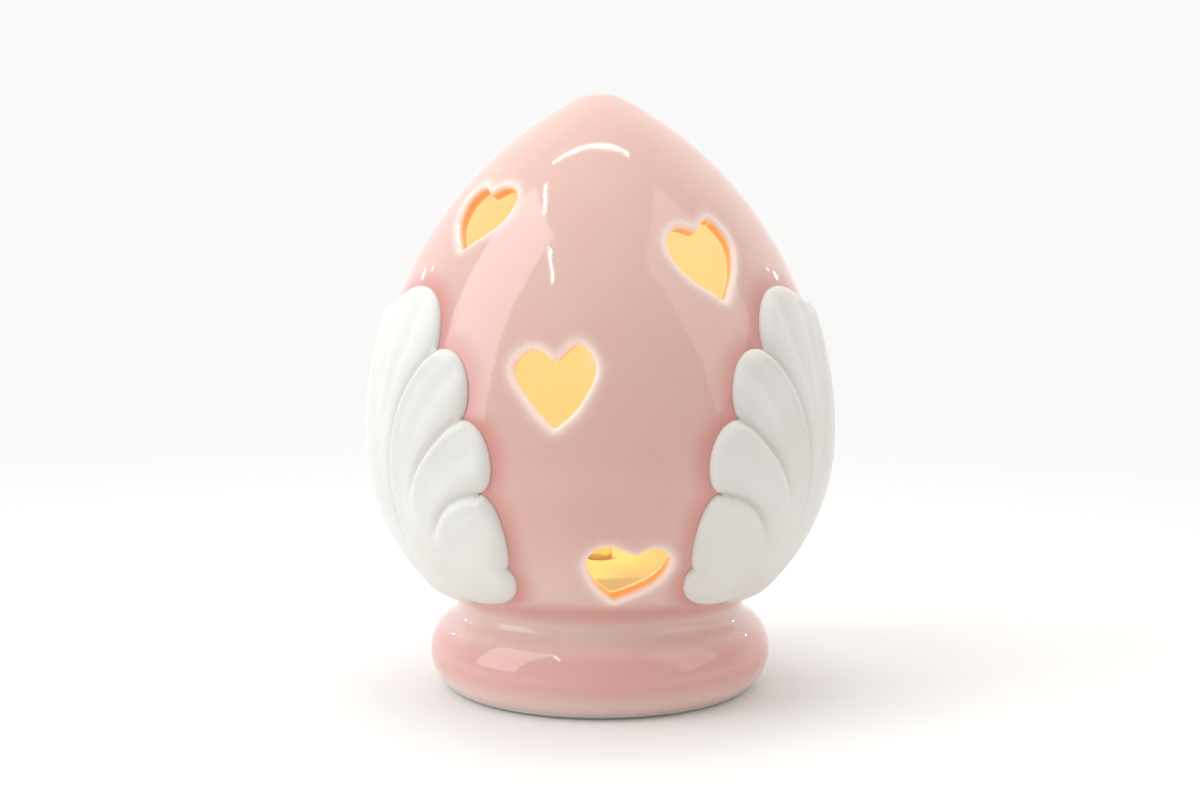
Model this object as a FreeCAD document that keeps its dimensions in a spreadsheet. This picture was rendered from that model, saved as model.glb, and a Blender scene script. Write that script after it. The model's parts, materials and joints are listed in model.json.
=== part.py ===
import FreeCAD, Part
import math
import os
import re
import Sketcher

# Egg-shaped porcelain lantern on a round foot, with a battery light unit that fills its foot.
# Millimetres, +Z up, origin in the middle of the foot's standing ring, front towards -Y.

SIZES = (
    # porcelain shell
    ("lantern_height", 120.0),
    ("belly_radius", 45.8),
    ("belly_rise", 52.0),
    ("apex_radius", 11.0),
    ("neck_radius", 29.2),
    ("neck_hollow", 3.0),
    ("foot_bulge", 5.6),
    ("foot_rise", 7.5),
    ("foot_round", 8.5),
    ("wall", 3.3),
    ("mouth_lip", 0.5),
    # plain side walls behind the leaves, each a solid of its own: start from the middle, foot and top
    ("side_reach", 22.0),
    ("side_foot", 32.0),
    ("side_top", 76.0),
    # heart cut-outs: turn from the front towards +X, height, width, length, lean and lobe radius
    ("heart1_turn", -45.0),
    ("heart1_rise", 95.3),
    ("heart1_width", 13.4),
    ("heart1_length", 15.2),
    ("heart1_lean", 3.0),
    ("heart2_turn", 32.3),
    ("heart2_rise", 87.8),
    ("heart2_width", 14.6),
    ("heart2_length", 16.8),
    ("heart2_lean", 9.0),
    ("heart3_turn", -10.8),
    ("heart3_rise", 64.9),
    ("heart3_width", 15.4),
    ("heart3_length", 15.5),
    ("heart3_lean", 4.0),
    ("heart4_turn", 7.6),
    ("heart4_rise", 29.6),
    ("heart4_width", 15.4),
    ("heart4_length", 14.4),
    ("heart4_lean", -10.0),
    ("heart_lobe", 4.2),
    # leaves: each lobe's tip and the notch above it, forward of the middle and above the ground
    ("leaf_thickness", 2.1),
    ("leaf_foot_reach", 26.0),
    ("leaf_foot_rise", 21.0),
    ("lobe1_reach", 34.6),
    ("lobe1_rise", 27.0),
    ("notch1_reach", 36.6),
    ("notch1_rise", 31.6),
    ("lobe2_reach", 41.0),
    ("lobe2_rise", 39.2),
    ("notch2_reach", 40.0),
    ("notch2_rise", 44.8),
    ("lobe3_reach", 42.0),
    ("lobe3_rise", 52.3),
    ("notch3_reach", 39.4),
    ("notch3_rise", 58.4),
    ("lobe4_reach", 37.8),
    ("lobe4_rise", 65.3),
    ("notch4_reach", 33.0),
    ("notch4_rise", 69.2),
    ("lobe5_reach", 27.0),
    ("lobe5_rise", 79.6),
    ("notch5_reach", 12.5),
    ("notch5_rise", 78.6),
    ("lobe6_rise", 81.4),
    # light unit
    ("unit_gap", 0.9),
    ("unit_wall", 1.5),
    ("deck_round", 3.0),
    ("base_thickness", 2.8),
    ("ring_thickness", 1.9),
    ("ring_height", 3.0),
    ("ring_groove", 0.7),
    ("ring_step", 0.45),
    ("fit_gap", 0.1),
    ("boss_radius", 2.6),
    ("boss_inset", 4.4),
    ("screw_radius", 0.9),
    ("screw_length", 8.0),
    ("screw_head_radius", 1.8),
    ("screw_head_height", 1.0),
    ("screw_slot", 0.5),
    ("screw_slot_length", 2.52),
    ("thread_gap", 0.06),
    # circuit board and its pegs
    ("board_room", 1.4),
    ("board_thickness", 1.2),
    ("board_gap", 2.2),
    ("roof_room", 3.5),
    ("peg_inset", 3.0),
    ("peg_radius", 1.5),
    ("stake_radius", 0.8),
    # light-emitting diode and resistor
    ("lens_radius", 2.5),
    ("lens_height", 8.6),
    ("lens_flange", 0.45),
    ("lens_flange_height", 1.0),
    ("lead_size", 0.5),
    ("lead_hole_radius", 0.4),
    ("lead_pitch", 2.54),
    ("resistor_radius", 0.9),
    ("resistor_length", 3.4),
    ("resistor_span", 7.0),
    ("resistor_place", 6.0),
    # battery
    ("cell_radius", 5.8),
    ("cell_thickness", 5.4),
    ("cell_cap_edge", 0.9),
    ("cell_cap_height", 0.6),
    ("cell_room", 0.3),
    ("contact_thickness", 0.4),
    ("contact_width", 8.0),
    ("contact_bow", 3.0),
    ("contact_tab", 2.4),
    ("contact_tab_height", 1.2),
    ("battery_place", 5.0),
    ("box_wall", 1.2),
    # battery door
    ("door_thickness", 1.7),
    ("door_ledge", 1.9),
    ("door_gap", 0.25),
    ("post_height", 6.6),
    # switch
    ("switch_place", 13.0),
    ("switch_length", 8.6),
    ("switch_width", 4.4),
    ("switch_height", 4.0),
    ("knob_length", 2.2),
    ("knob_width", 2.2),
    ("knob_entry", 1.0),
    ("knob_travel", 2.0),
    ("terminal_size", 0.7),
    ("terminal_height", 2.0),
    ("terminal_pitch", 2.5),
    # wires: rise over the terminals, and how far the runs step aside, dip and reach
    ("wire_radius", 0.55),
    ("wire_rise", 4.0),
    ("wire_aside", 3.0),
    ("wire_sag", 2.0),
    ("wire_dip", 1.7),
    ("wire_reach", 5.0),
    ("wire_turn", 8.0),
    ("wire_shift", 1.0),
)
ALIASES = {alias for alias, number in SIZES}
# Share of the shorter of two wire runs that the bend between them takes from each
BEND_SHARE = 0.45

doc = FreeCAD.newDocument("lantern")
sheet = doc.addObject("Spreadsheet::Sheet", "sizes")
for row, (alias, number) in enumerate(SIZES, start=1):
    sheet.set(f"A{row}", alias)
    sheet.set(f"B{row}", str(number))
    sheet.setAlias(f"B{row}", alias)
doc.recompute()


# ---- expressions on the sheet ----

def cells(text):
    """Turn an expression in plain aliases into one that a property can be bound to."""
    return re.sub(r"[a-z][a-z0-9_]*", lambda m: f"sizes.{m[0]}" if m[0] in ALIASES else m[0], text)


def value(text):
    """Number that an expression in plain aliases works out to."""
    result = sheet.evalExpression(cells(text))
    return float(getattr(result, "Value", result))


def bind(thing, **properties):
    """Bind an object's properties, or its placement's x, y and z, to expressions."""
    for name, text in properties.items():
        path = f"Placement.Base.{name}" if name in ("x", "y", "z") else name
        thing.setExpression(path, cells(text))


# Levels and places that several pieces share, from the mouth inwards and from the base upwards
MOUTH = "(neck_radius - wall - mouth_lip)"
UNIT_RADIUS = f"({MOUTH} - fit_gap - ring_thickness)"
BOSS_CIRCLE = f"({UNIT_RADIUS} - boss_inset)"
BOARD_RADIUS = f"({BOSS_CIRCLE} - boss_radius - board_room)"
PEG_CIRCLE = f"({BOARD_RADIUS} - peg_inset)"
BASE_TOP = "unit_gap + base_thickness"
CELL_AXIS = f"{BASE_TOP} + cell_room + cell_radius"
WELL_LENGTH = "3*cell_thickness + contact_bow + 2*contact_thickness"
WELL_WIDTH = "2*(cell_radius + cell_room)"
WELL_TOP = f"{CELL_AXIS} + cell_radius + cell_room"
WELL_END = f"({WELL_LENGTH})/2"
BOARD_BOTTOM = f"{WELL_TOP} + box_wall + roof_room"
BOARD_TOP = f"{BOARD_BOTTOM} + board_thickness"
DECK_BOTTOM = f"{BOARD_TOP} + board_gap"
DECK_TOP = f"{DECK_BOTTOM} + unit_wall"
SCREW_SEAT = "unit_gap + screw_head_height + fit_gap"
DOOR_SCREW_X = f"{WELL_END} + box_wall + boss_radius"
DOOR_LEFT = f"-({WELL_END}) - door_ledge"
DOOR_RIGHT = f"{DOOR_SCREW_X} + boss_radius"

# Radii and centres of the egg's, neck's and foot's arcs, each tangent to the next
APEX_CENTRE = "(lantern_height - apex_radius)"
EGG_UPPER = (f"((belly_radius^2 + ({APEX_CENTRE} - belly_rise)^2 - apex_radius^2)"
             "/(2*(belly_radius - apex_radius)))")
FOOT_CENTRE = "(neck_radius + foot_bulge - foot_round)"
NECK_CENTRE = "(neck_radius + neck_hollow)"
NECK_RISE = (f"(foot_rise + sqrt((neck_hollow + foot_round)^2"
             f" - ({NECK_CENTRE} - {FOOT_CENTRE})^2))")
EGG_LOWER = (f"((({NECK_CENTRE} - belly_radius)^2 + (belly_rise - {NECK_RISE})^2 - neck_hollow^2)"
             f"/(2*(neck_hollow - {NECK_CENTRE} + belly_radius)))")


# ---- features ----

def new(kind, name):
    return doc.addObject(kind, name)


def cylinder(name, radius, height, x="0", y="0", z="0"):
    """Upright cylinder on its bottom face's centre."""
    thing = new("Part::Cylinder", name)
    bind(thing, Radius=radius, Height=height, x=x, y=y, z=z)
    return thing


def block(name, length, width, height, x="0", y="0", z="0"):
    """Box centred on x and y, standing on z."""
    thing = new("Part::Box", name)
    bind(thing, Length=length, Width=width, Height=height,
         x=f"{x} - ({length})/2", y=f"{y} - ({width})/2", z=z)
    return thing


def fused(name, *things):
    thing = new("Part::MultiFuse", name)
    thing.Shapes = list(things)
    return thing


def cut(name, base, *tools):
    thing = new("Part::Cut", name)
    thing.Base = base
    thing.Tool = tools[0] if len(tools) == 1 else fused(f"{name}_tools", *tools)
    return thing


def grouped(name, *things):
    thing = new("Part::Compound", name)
    thing.Links = list(things)
    return thing


def body_with_sketch(name, plane):
    """PartDesign body with one sketch on an origin plane of its own."""
    body = new("PartDesign::Body", name)
    face = next(item for item in body.Origin.OriginFeatures if item.Role == plane)
    sketch = body.newObject("Sketcher::SketchObject", f"{name}_sketch")
    sketch.AttachmentSupport = [(face, "")]
    sketch.MapMode = "FlatFace"
    return body, sketch


def fix_point(sketch, edge, point, across, up):
    """Bind a sketch point to its two distances from the sketch's origin."""
    for kind, text, axis in (("DistanceX", across, -2), ("DistanceY", up, -1)):
        amount = value(text)
        if abs(amount) < 1e-9:
            sketch.addConstraint(Sketcher.Constraint("PointOnObject", edge, point, axis))
            continue
        index = sketch.addConstraint(Sketcher.Constraint(kind, -1, 1, edge, point, amount))
        sketch.setExpression(f"Constraints[{index}]", cells(text))


def fix_radius(sketch, edge, text):
    index = sketch.addConstraint(Sketcher.Constraint("Radius", edge, value(text)))
    sketch.setExpression(f"Constraints[{index}]", cells(text))


def angle(centre, point):
    return math.atan2(point[1] - centre[1], point[0] - centre[0])


def draw_arc(sketch, centre, radius, low, high):
    """Arc turning anticlockwise from one angle to the other, in radians."""
    circle = Part.Circle(FreeCAD.Vector(*centre, 0), FreeCAD.Vector(0, 0, 1), radius)
    return sketch.addGeometry(Part.ArcOfCircle(circle, low, high), False)


def draw_line(sketch, start, end):
    return sketch.addGeometry(Part.LineSegment(FreeCAD.Vector(*start, 0), FreeCAD.Vector(*end, 0)), False)


def join(sketch, first, first_end, second, second_end, smooth=False):
    kind = "Tangent" if smooth else "Coincident"
    sketch.addConstraint(Sketcher.Constraint(kind, first, first_end, second, second_end))


def draw_polygon(sketch, corners, rounds=None):
    """Closed outline, every corner bound; rounds gives an edge's number a quarter round's radius."""
    rounds = rounds or {}
    spots = [(value(x), value(y)) for x, y in corners]
    for index, spot in enumerate(spots):
        following = spots[(index + 1) % len(spots)]
        if index in rounds:
            centre = (following[0], spot[1])
            draw_arc(sketch, centre, value(rounds[index]), angle(centre, spot), angle(centre, following))
        else:
            draw_line(sketch, spot, following)
    for index, (across, up) in enumerate(corners):
        join(sketch, index, 2, (index + 1) % len(corners), 1)
        fix_point(sketch, index, 1, across, up)
    for index, radius in rounds.items():
        fix_radius(sketch, index, radius)


def revolve(body, sketch):
    """Turn the body's sketch about its upright axis."""
    feature = body.newObject("PartDesign::Revolution", f"{body.Name}_turned")
    feature.Profile = sketch
    feature.ReferenceAxis = (sketch, ["V_Axis"])
    feature.Angle = 360.0
    body.Tip = feature
    return body


def turned(name, corners, rounds=None):
    """Body turned from an outline of radius and height."""
    body, sketch = body_with_sketch(name, "XZ_Plane")
    draw_polygon(sketch, corners, rounds)
    return revolve(body, sketch)


def around(radius, count=3, first=90.0):
    """Places on a circle, as pairs of x and y expressions."""
    turns = [first + 360.0 * number / count for number in range(count)]
    return [(f"{radius}*cos({turn})", f"{radius}*sin({turn})") for turn in turns]


# ---- porcelain shell ----

class Outline:
    """The shell's outer arcs as numbers: centres, radii and the points where they meet."""

    def __init__(self):
        self.belly, self.rise = value("belly_radius"), value("belly_rise")
        self.apex = (0.0, value(APEX_CENTRE))
        self.upper_radius, self.lower_radius = value(EGG_UPPER), value(EGG_LOWER)
        self.upper = (self.belly - self.upper_radius, self.rise)
        self.lower = (self.belly - self.lower_radius, self.rise)
        self.neck = (value(NECK_CENTRE), value(NECK_RISE))
        self.foot = (value(FOOT_CENTRE), value("foot_rise"))
        self.apex_angle = angle(self.upper, self.apex)
        self.lower_angle = angle(self.lower, self.neck)
        self.foot_angle = angle(self.foot, self.neck)

    def radius(self, rise):
        """Outer radius of the egg at a height between the neck and the apex rounding."""
        above = rise > self.rise
        across, up = self.upper if above else self.lower
        arc = self.upper_radius if above else self.lower_radius
        return across + math.sqrt(arc**2 - (rise - up)**2)

    def tilt(self, rise):
        """Elevation of the egg's outward normal at a height, in degrees."""
        arc = self.upper_radius if rise > self.rise else self.lower_radius
        return math.degrees(math.asin((rise - self.rise) / arc))


def draw_shell_side(sketch, outline, inset):
    """Foot, neck, lower egg, upper egg and apex arcs, set in from the outside by inset."""
    foot_round, hollow, apex_radius = value("foot_round"), value("neck_hollow"), value("apex_radius")
    if inset:
        mouth = value(MOUTH) - outline.foot[0]
        start = -math.acos(mouth / (foot_round - inset))
    else:
        start = -math.asin(outline.foot[1] / foot_round)
    foot = draw_arc(sketch, outline.foot, foot_round - inset, start, outline.foot_angle)
    neck = draw_arc(sketch, outline.neck, hollow + inset, outline.lower_angle + math.pi,
                    outline.foot_angle + math.pi)
    lower = draw_arc(sketch, outline.lower, outline.lower_radius - inset, outline.lower_angle, 0.0)
    upper = draw_arc(sketch, outline.upper, outline.upper_radius - inset, 0.0, outline.apex_angle)
    apex = draw_arc(sketch, outline.apex, apex_radius - inset, outline.apex_angle, math.pi / 2)
    join(sketch, foot, 2, neck, 2, smooth=True)
    join(sketch, neck, 1, lower, 1, smooth=True)
    join(sketch, lower, 2, upper, 1, smooth=True)
    join(sketch, upper, 2, apex, 1, smooth=True)
    return foot, neck, lower, upper, apex


def make_shell_body(outline):
    """Shell turned from one closed section: outer arcs, inner arcs, standing ring and mouth."""
    body, sketch = body_with_sketch("shell_body", "XZ_Plane")
    wall, height, mouth = value("wall"), value("lantern_height"), value(MOUTH)
    outer = draw_shell_side(sketch, outline, 0.0)
    inner = draw_shell_side(sketch, outline, wall)
    foot_round = value("foot_round")
    ring_edge = outline.foot[0] + math.sqrt(foot_round**2 - outline.foot[1]**2)
    lip = outline.foot[1] - math.sqrt((foot_round - wall)**2 - (mouth - outline.foot[0])**2)
    tip = draw_line(sketch, (0, height), (0, height - wall))
    bore = draw_line(sketch, (mouth, lip), (mouth, 0))
    ring = draw_line(sketch, (mouth, 0), (ring_edge, 0))
    join(sketch, outer[4], 2, tip, 1)
    join(sketch, tip, 2, inner[4], 2)
    join(sketch, inner[0], 1, bore, 1)
    join(sketch, bore, 2, ring, 1)
    join(sketch, ring, 2, outer[0], 1)
    for outside, inside in zip(outer, inner):
        sketch.addConstraint(Sketcher.Constraint("Coincident", outside, 3, inside, 3))
    fix_point(sketch, outer[0], 3, FOOT_CENTRE, "foot_rise")
    fix_radius(sketch, outer[0], "foot_round")
    sketch.addConstraint(Sketcher.Constraint("PointOnObject", outer[0], 1, -1))
    fix_radius(sketch, outer[1], "neck_hollow")
    index = sketch.addConstraint(Sketcher.Constraint("DistanceX", -1, 1, outer[1], 3, value(NECK_CENTRE)))
    sketch.setExpression(f"Constraints[{index}]", cells(NECK_CENTRE))
    fix_point(sketch, outer[2], 2, "belly_radius", "belly_rise")
    index = sketch.addConstraint(Sketcher.Constraint("DistanceY", -1, 1, outer[2], 3, value("belly_rise")))
    sketch.setExpression(f"Constraints[{index}]", cells("belly_rise"))
    fix_radius(sketch, outer[4], "apex_radius")
    sketch.addConstraint(Sketcher.Constraint("PointOnObject", outer[4], 3, -2))
    fix_point(sketch, tip, 1, "0", "lantern_height")
    fix_point(sketch, tip, 2, "0", "lantern_height - wall")
    fix_point(sketch, bore, 2, MOUTH, "0")
    sketch.addConstraint(Sketcher.Constraint("Vertical", bore))
    return revolve(body, sketch)


def make_heart(index, outline):
    """Heart-shaped prism through the wall, square to the surface at the heart's middle."""
    width, length, lobe = f"heart{index}_width", f"heart{index}_length", "heart_lobe"
    sketch = new("Sketcher::SketchObject", f"heart{index}_sketch")
    radius = value(lobe)
    across, up = value(f"{width}/2 - {lobe}"), value(f"{length}/2 - {lobe}")
    tip = -value(f"{length}/2")
    notch = up + math.sqrt(radius**2 - across**2)
    reach = math.hypot(across, up - tip)
    contact = math.atan2(up - tip, across) - math.asin(radius / reach)
    touch_length = math.sqrt(reach**2 - radius**2)
    touch = (touch_length * math.cos(contact), tip + touch_length * math.sin(contact))
    centre = (across, up)
    right = draw_arc(sketch, centre, radius, angle(centre, touch), angle(centre, (0, notch)))
    left = draw_arc(sketch, (-across, up), radius, angle((-across, up), (0, notch)),
                    angle((-across, up), (-touch[0], touch[1])) + 2 * math.pi)
    right_side = draw_line(sketch, (0, tip), touch)
    left_side = draw_line(sketch, (-touch[0], touch[1]), (0, tip))
    join(sketch, right_side, 2, right, 1, smooth=True)
    join(sketch, right, 2, left, 1)
    join(sketch, left, 2, left_side, 1, smooth=True)
    join(sketch, left_side, 2, right_side, 1)
    fix_point(sketch, right_side, 1, "0", f"-{length}/2")
    fix_point(sketch, right, 3, f"{width}/2 - {lobe}", f"{length}/2 - {lobe}")
    fix_point(sketch, left, 3, f"{lobe} - {width}/2", f"{length}/2 - {lobe}")
    fix_radius(sketch, right, lobe)
    fix_radius(sketch, left, lobe)
    prism = new("Part::Extrusion", f"heart{index}")
    prism.Base = sketch
    prism.DirMode = "Normal"
    prism.Solid = True
    bind(prism, LengthFwd="wall", LengthRev="3*wall")
    turn, rise = value(f"heart{index}_turn"), value(f"heart{index}_rise")
    surface = outline.radius(rise)
    stand = FreeCAD.Rotation(FreeCAD.Vector(1, 0, 0), 90)
    tilt = FreeCAD.Rotation(FreeCAD.Vector(1, 0, 0), -outline.tilt(rise))
    round_about = FreeCAD.Rotation(FreeCAD.Vector(0, 0, 1), turn)
    lean = FreeCAD.Rotation(FreeCAD.Vector(0, 0, 1), value(f"heart{index}_lean"))
    heading = math.radians(turn)
    place = FreeCAD.Vector(surface * math.sin(heading), -surface * math.cos(heading), rise)
    sketch.Placement = FreeCAD.Placement(place, round_about * tilt * stand * lean)
    return prism


def make_shell(outline):
    """Pierced shell, with the plain wall behind each leaf parted from it face to face."""
    hearts = [make_heart(index, outline) for index in range(1, 5)]
    pierced = cut("pierced_shell", make_shell_body(outline), *hearts)
    spaces = []
    for name, side in (("left", "-1"), ("right", "1")):
        space = block(f"{name}_space", "belly_radius", "2*belly_radius", "side_top - side_foot",
                      f"{side}*(side_reach + belly_radius/2)", z="side_foot")
        wall = new("Part::MultiCommon", f"porcelain_side_{name}")
        wall.Shapes = [pierced, space]
        spaces.append(space)
    cut("porcelain_shell", pierced, *spaces)


# ---- leaves ----

def make_leaf_band(outline):
    """Ring of leaf thickness laid on the egg, from which the leaves are cut."""
    body, sketch = body_with_sketch("leaf_band", "XZ_Plane")
    thick = value("leaf_thickness")
    low = math.asin((value("leaf_foot_rise") - outline.rise) / outline.lower_radius)
    high = math.asin((value("lobe6_rise") + value("leaf_thickness") - outline.rise) / outline.upper_radius)
    edges = []
    for extra in (0.0, thick):
        lower = draw_arc(sketch, outline.lower, outline.lower_radius + extra, low, 0.0)
        upper = draw_arc(sketch, outline.upper, outline.upper_radius + extra, 0.0, high)
        join(sketch, lower, 2, upper, 1, smooth=True)
        edges.append((lower, upper))

    def spot(centre, radius, turn):
        return centre[0] + radius * math.cos(turn), centre[1] + radius * math.sin(turn)

    bottom = draw_line(sketch, spot(outline.lower, outline.lower_radius, low),
                       spot(outline.lower, outline.lower_radius + thick, low))
    top = draw_line(sketch, spot(outline.upper, outline.upper_radius, high),
                    spot(outline.upper, outline.upper_radius + thick, high))
    (lower_in, upper_in), (lower_out, upper_out) = edges
    join(sketch, lower_in, 1, bottom, 1)
    join(sketch, bottom, 2, lower_out, 1)
    join(sketch, upper_in, 2, top, 1)
    join(sketch, top, 2, upper_out, 2)
    sketch.addConstraint(Sketcher.Constraint("Coincident", lower_in, 3, lower_out, 3))
    sketch.addConstraint(Sketcher.Constraint("Coincident", upper_in, 3, upper_out, 3))
    fix_point(sketch, lower_in, 3, f"belly_radius - {EGG_LOWER}", "belly_rise")
    fix_point(sketch, upper_in, 3, f"belly_radius - {EGG_UPPER}", "belly_rise")
    fix_radius(sketch, lower_in, EGG_LOWER)
    fix_radius(sketch, lower_out, f"{EGG_LOWER} + leaf_thickness")
    for edge, point, text in ((bottom, 1, "leaf_foot_rise"), (top, 1, "lobe6_rise + leaf_thickness")):
        index = sketch.addConstraint(Sketcher.Constraint("DistanceY", -1, 1, edge, point, value(text)))
        sketch.setExpression(f"Constraints[{index}]", cells(text))
    sketch.addConstraint(Sketcher.Constraint("PointOnObject", lower_in, 3, bottom))
    sketch.addConstraint(Sketcher.Constraint("PointOnObject", upper_in, 3, top))
    return revolve(body, sketch)


def make_leaf_outline():
    """Side view of a leaf: rounded lobes that meet in notches, fanned about the upright middle."""
    sketch = new("Sketcher::SketchObject", "leaf_outline")
    sketch.Placement = FreeCAD.Placement(FreeCAD.Vector(0, 0, 0), FreeCAD.Rotation(
        FreeCAD.Vector(0, 1, 0), FreeCAD.Vector(0, 0, 1), FreeCAD.Vector(1, 0, 0), "ZXY"))
    starts = [("leaf_foot_reach", "leaf_foot_rise")]
    starts += [(f"notch{number}_reach", f"notch{number}_rise") for number in range(1, 6)]
    tips = [(f"lobe{number}_reach", f"lobe{number}_rise") for number in range(1, 6)]
    back = [(starts[number], tips[number], starts[number + 1]) for number in range(5)]
    crown = [(starts[5], ("0", "lobe6_rise"), (f"-{starts[5][0]}", starts[5][1]))]
    front = [tuple((f"-{across}", up) for across, up in reversed(lobe)) for lobe in reversed(back)]
    lobes = back + crown + front
    for index, (start, tip, end) in enumerate(lobes):
        spots = [(value(across), value(up)) for across, up in (start, tip, end)]
        circle = Part.Circle(*[FreeCAD.Vector(*spot, 0) for spot in spots])
        middle = (circle.Center.x, circle.Center.y)
        low, high = angle(middle, spots[0]), angle(middle, spots[2])
        draw_arc(sketch, middle, circle.Radius, low, high if high > low else high + 2 * math.pi)
        fix_point(sketch, index, 1, *start)
    corner = (value("leaf_foot_reach"), value("leaf_foot_rise"))
    base = draw_line(sketch, (-corner[0], corner[1]), corner)
    fix_point(sketch, base, 1, "-leaf_foot_reach", "leaf_foot_rise")
    for index, (start, tip, end) in enumerate(lobes):
        join(sketch, index, 2, index + 1, 1)
        point = sketch.addGeometry(Part.Point(FreeCAD.Vector(value(tip[0]), value(tip[1]), 0)), True)
        fix_point(sketch, point, 1, *tip)
        sketch.addConstraint(Sketcher.Constraint("PointOnObject", point, 1, index))
    join(sketch, base, 2, 0, 1)
    return sketch


def make_leaves(outline):
    band = make_leaf_band(outline)
    side_view = make_leaf_outline()
    for name, side in (("leaf_left", -1), ("leaf_right", 1)):
        slab = new("Part::Extrusion", f"{name}_slab")
        slab.Base = side_view
        slab.DirMode = "Custom"
        slab.Dir = FreeCAD.Vector(side, 0, 0)
        slab.Solid = True
        bind(slab, LengthFwd="belly_radius + 2*leaf_thickness")
        leaf = new("Part::MultiCommon", name)
        leaf.Shapes = [band, slab]


# ---- light unit: housing, base, ring, door and screws ----

def make_housing():
    """Cup with a rounded deck, three screw bosses and two pegs that carry the circuit board."""
    inside = f"{UNIT_RADIUS} - unit_wall"
    lens_hole = "lens_radius + 2*fit_gap"
    cup = turned("housing_cup", [
        (UNIT_RADIUS, BASE_TOP), (UNIT_RADIUS, f"{DECK_TOP} - deck_round"),
        (f"{UNIT_RADIUS} - deck_round", DECK_TOP), (lens_hole, DECK_TOP),
        (lens_hole, DECK_BOTTOM), (inside, DECK_BOTTOM), (inside, BASE_TOP)], {1: "deck_round"})
    solids, holes = [cup], []
    for number, (x, y) in enumerate(around(BOSS_CIRCLE)):
        solids.append(cylinder(f"housing_boss{number}", "boss_radius", f"{DECK_BOTTOM} - ({BASE_TOP})",
                               x, y, BASE_TOP))
        holes.append(cylinder(f"housing_hole{number}", "screw_radius + thread_gap", "screw_length",
                              x, y, BASE_TOP))
    for number, (x, y) in enumerate(around(PEG_CIRCLE, 2, 0.0)):
        solids.append(cylinder(f"housing_peg{number}", "peg_radius", "board_gap", x, y, BOARD_TOP))
        solids.append(cylinder(f"housing_stake{number}", "stake_radius",
                               "board_thickness + stake_radius + board_gap", x, y,
                               f"{BOARD_BOTTOM} - stake_radius"))
    cut("led_housing", fused("housing_solid", *solids), *holes)


def make_base():
    """Round bottom plate with the battery well, the door's seat, the switch slot and the screw holes."""
    below = "2*unit_gap"
    under = "-unit_gap"
    middle = f"(({DOOR_LEFT}) + ({DOOR_RIGHT}))/2"
    plate = cylinder("base_plate", UNIT_RADIUS, "base_thickness", z="unit_gap")
    well = block("base_well", f"{WELL_LENGTH} + 2*box_wall", f"{WELL_WIDTH} + 2*box_wall",
                 f"{WELL_TOP} + box_wall - ({BASE_TOP})", y="battery_place", z=BASE_TOP)
    post = cylinder("base_post", "boss_radius", "post_height", DOOR_SCREW_X, "battery_place", BASE_TOP)
    tools = [
        block("base_well_room", WELL_LENGTH, WELL_WIDTH, f"{WELL_TOP} + unit_gap",
              y="battery_place", z=under),
        block("base_door_seat", f"{DOOR_RIGHT} - ({DOOR_LEFT})", f"{WELL_WIDTH} + 2*door_ledge",
              f"{below} + door_thickness", middle, "battery_place", under),
        cylinder("base_post_hole", "screw_radius + fit_gap", f"{SCREW_SEAT} + screw_length", DOOR_SCREW_X,
                 "battery_place", "0"),
        block("base_switch_slot", "knob_length + knob_travel + 2*door_gap", "knob_width + 2*door_gap",
              f"{BASE_TOP} + unit_gap", y="-switch_place", z=under),
        block("base_finger_dip", "switch_length", "switch_width", f"{below} + base_thickness/3",
              y="-switch_place", z=under),
    ]
    for side, place in (("left", "-1"), ("right", "1")):
        tools.append(block(f"base_tab_slot_{side}", "contact_thickness", "contact_tab + fit_gap",
                           "box_wall + unit_gap", f"{place}*({WELL_END} - contact_thickness/2)",
                           "battery_place", WELL_TOP))
    for number, (x, y) in enumerate(around(BOSS_CIRCLE)):
        tools.append(cylinder(f"base_hole{number}", "screw_radius + fit_gap", BASE_TOP, x, y, "0"))
        tools.append(cylinder(f"base_counterbore{number}", "screw_head_radius + fit_gap", SCREW_SEAT,
                              x, y, "0"))
    cut("led_base", fused("base_solid", plate, well, post), *tools)


def make_ring():
    """Soft ring round the unit's lower edge, with two ribs that grip the shell's mouth."""
    tip, root = f"{MOUTH} - fit_gap", f"{MOUTH} - fit_gap - ring_groove"
    turned("grip_ring", [
        (UNIT_RADIUS, "unit_gap"), (root, "unit_gap"), (tip, "unit_gap + ring_step"),
        (root, "unit_gap + 2*ring_step"), (tip, "unit_gap + 3*ring_step"),
        (root, "unit_gap + 4*ring_step"), (root, "unit_gap + ring_height"),
        (UNIT_RADIUS, "unit_gap + ring_height")])


def make_screw(name, x, y):
    """Pan-head tapping screw, head down, with a cross recess."""
    head_bottom = "unit_gap + fit_gap"
    solid = fused(f"{name}_solid",
                  cylinder(f"{name}_head", "screw_head_radius", "screw_head_height", x, y, head_bottom),
                  cylinder(f"{name}_shank", "screw_radius", "screw_length - screw_radius", x, y, SCREW_SEAT),
                  cone_tip(f"{name}_point", x, y))
    recess = [block(f"{name}_recess{number}", length, width, "screw_head_height", x, y,
                    f"{head_bottom} - screw_head_height/2")
              for number, (length, width) in enumerate((("screw_slot_length", "screw_slot"),
                                                        ("screw_slot", "screw_slot_length")))]
    return cut(name, solid, *recess)


def cone_tip(name, x, y):
    tip = new("Part::Cone", name)
    bind(tip, Radius1="screw_radius", Radius2="screw_radius/5", Height="screw_radius",
         x=x, y=y, z=f"{SCREW_SEAT} + screw_length - screw_radius")
    return tip


def make_screws():
    screws = [make_screw(f"base_screw{number}", x, y)
              for number, (x, y) in enumerate(around(BOSS_CIRCLE))]
    grouped("base_screws", *screws)
    make_screw("door_screw", DOOR_SCREW_X, "battery_place")


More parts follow.
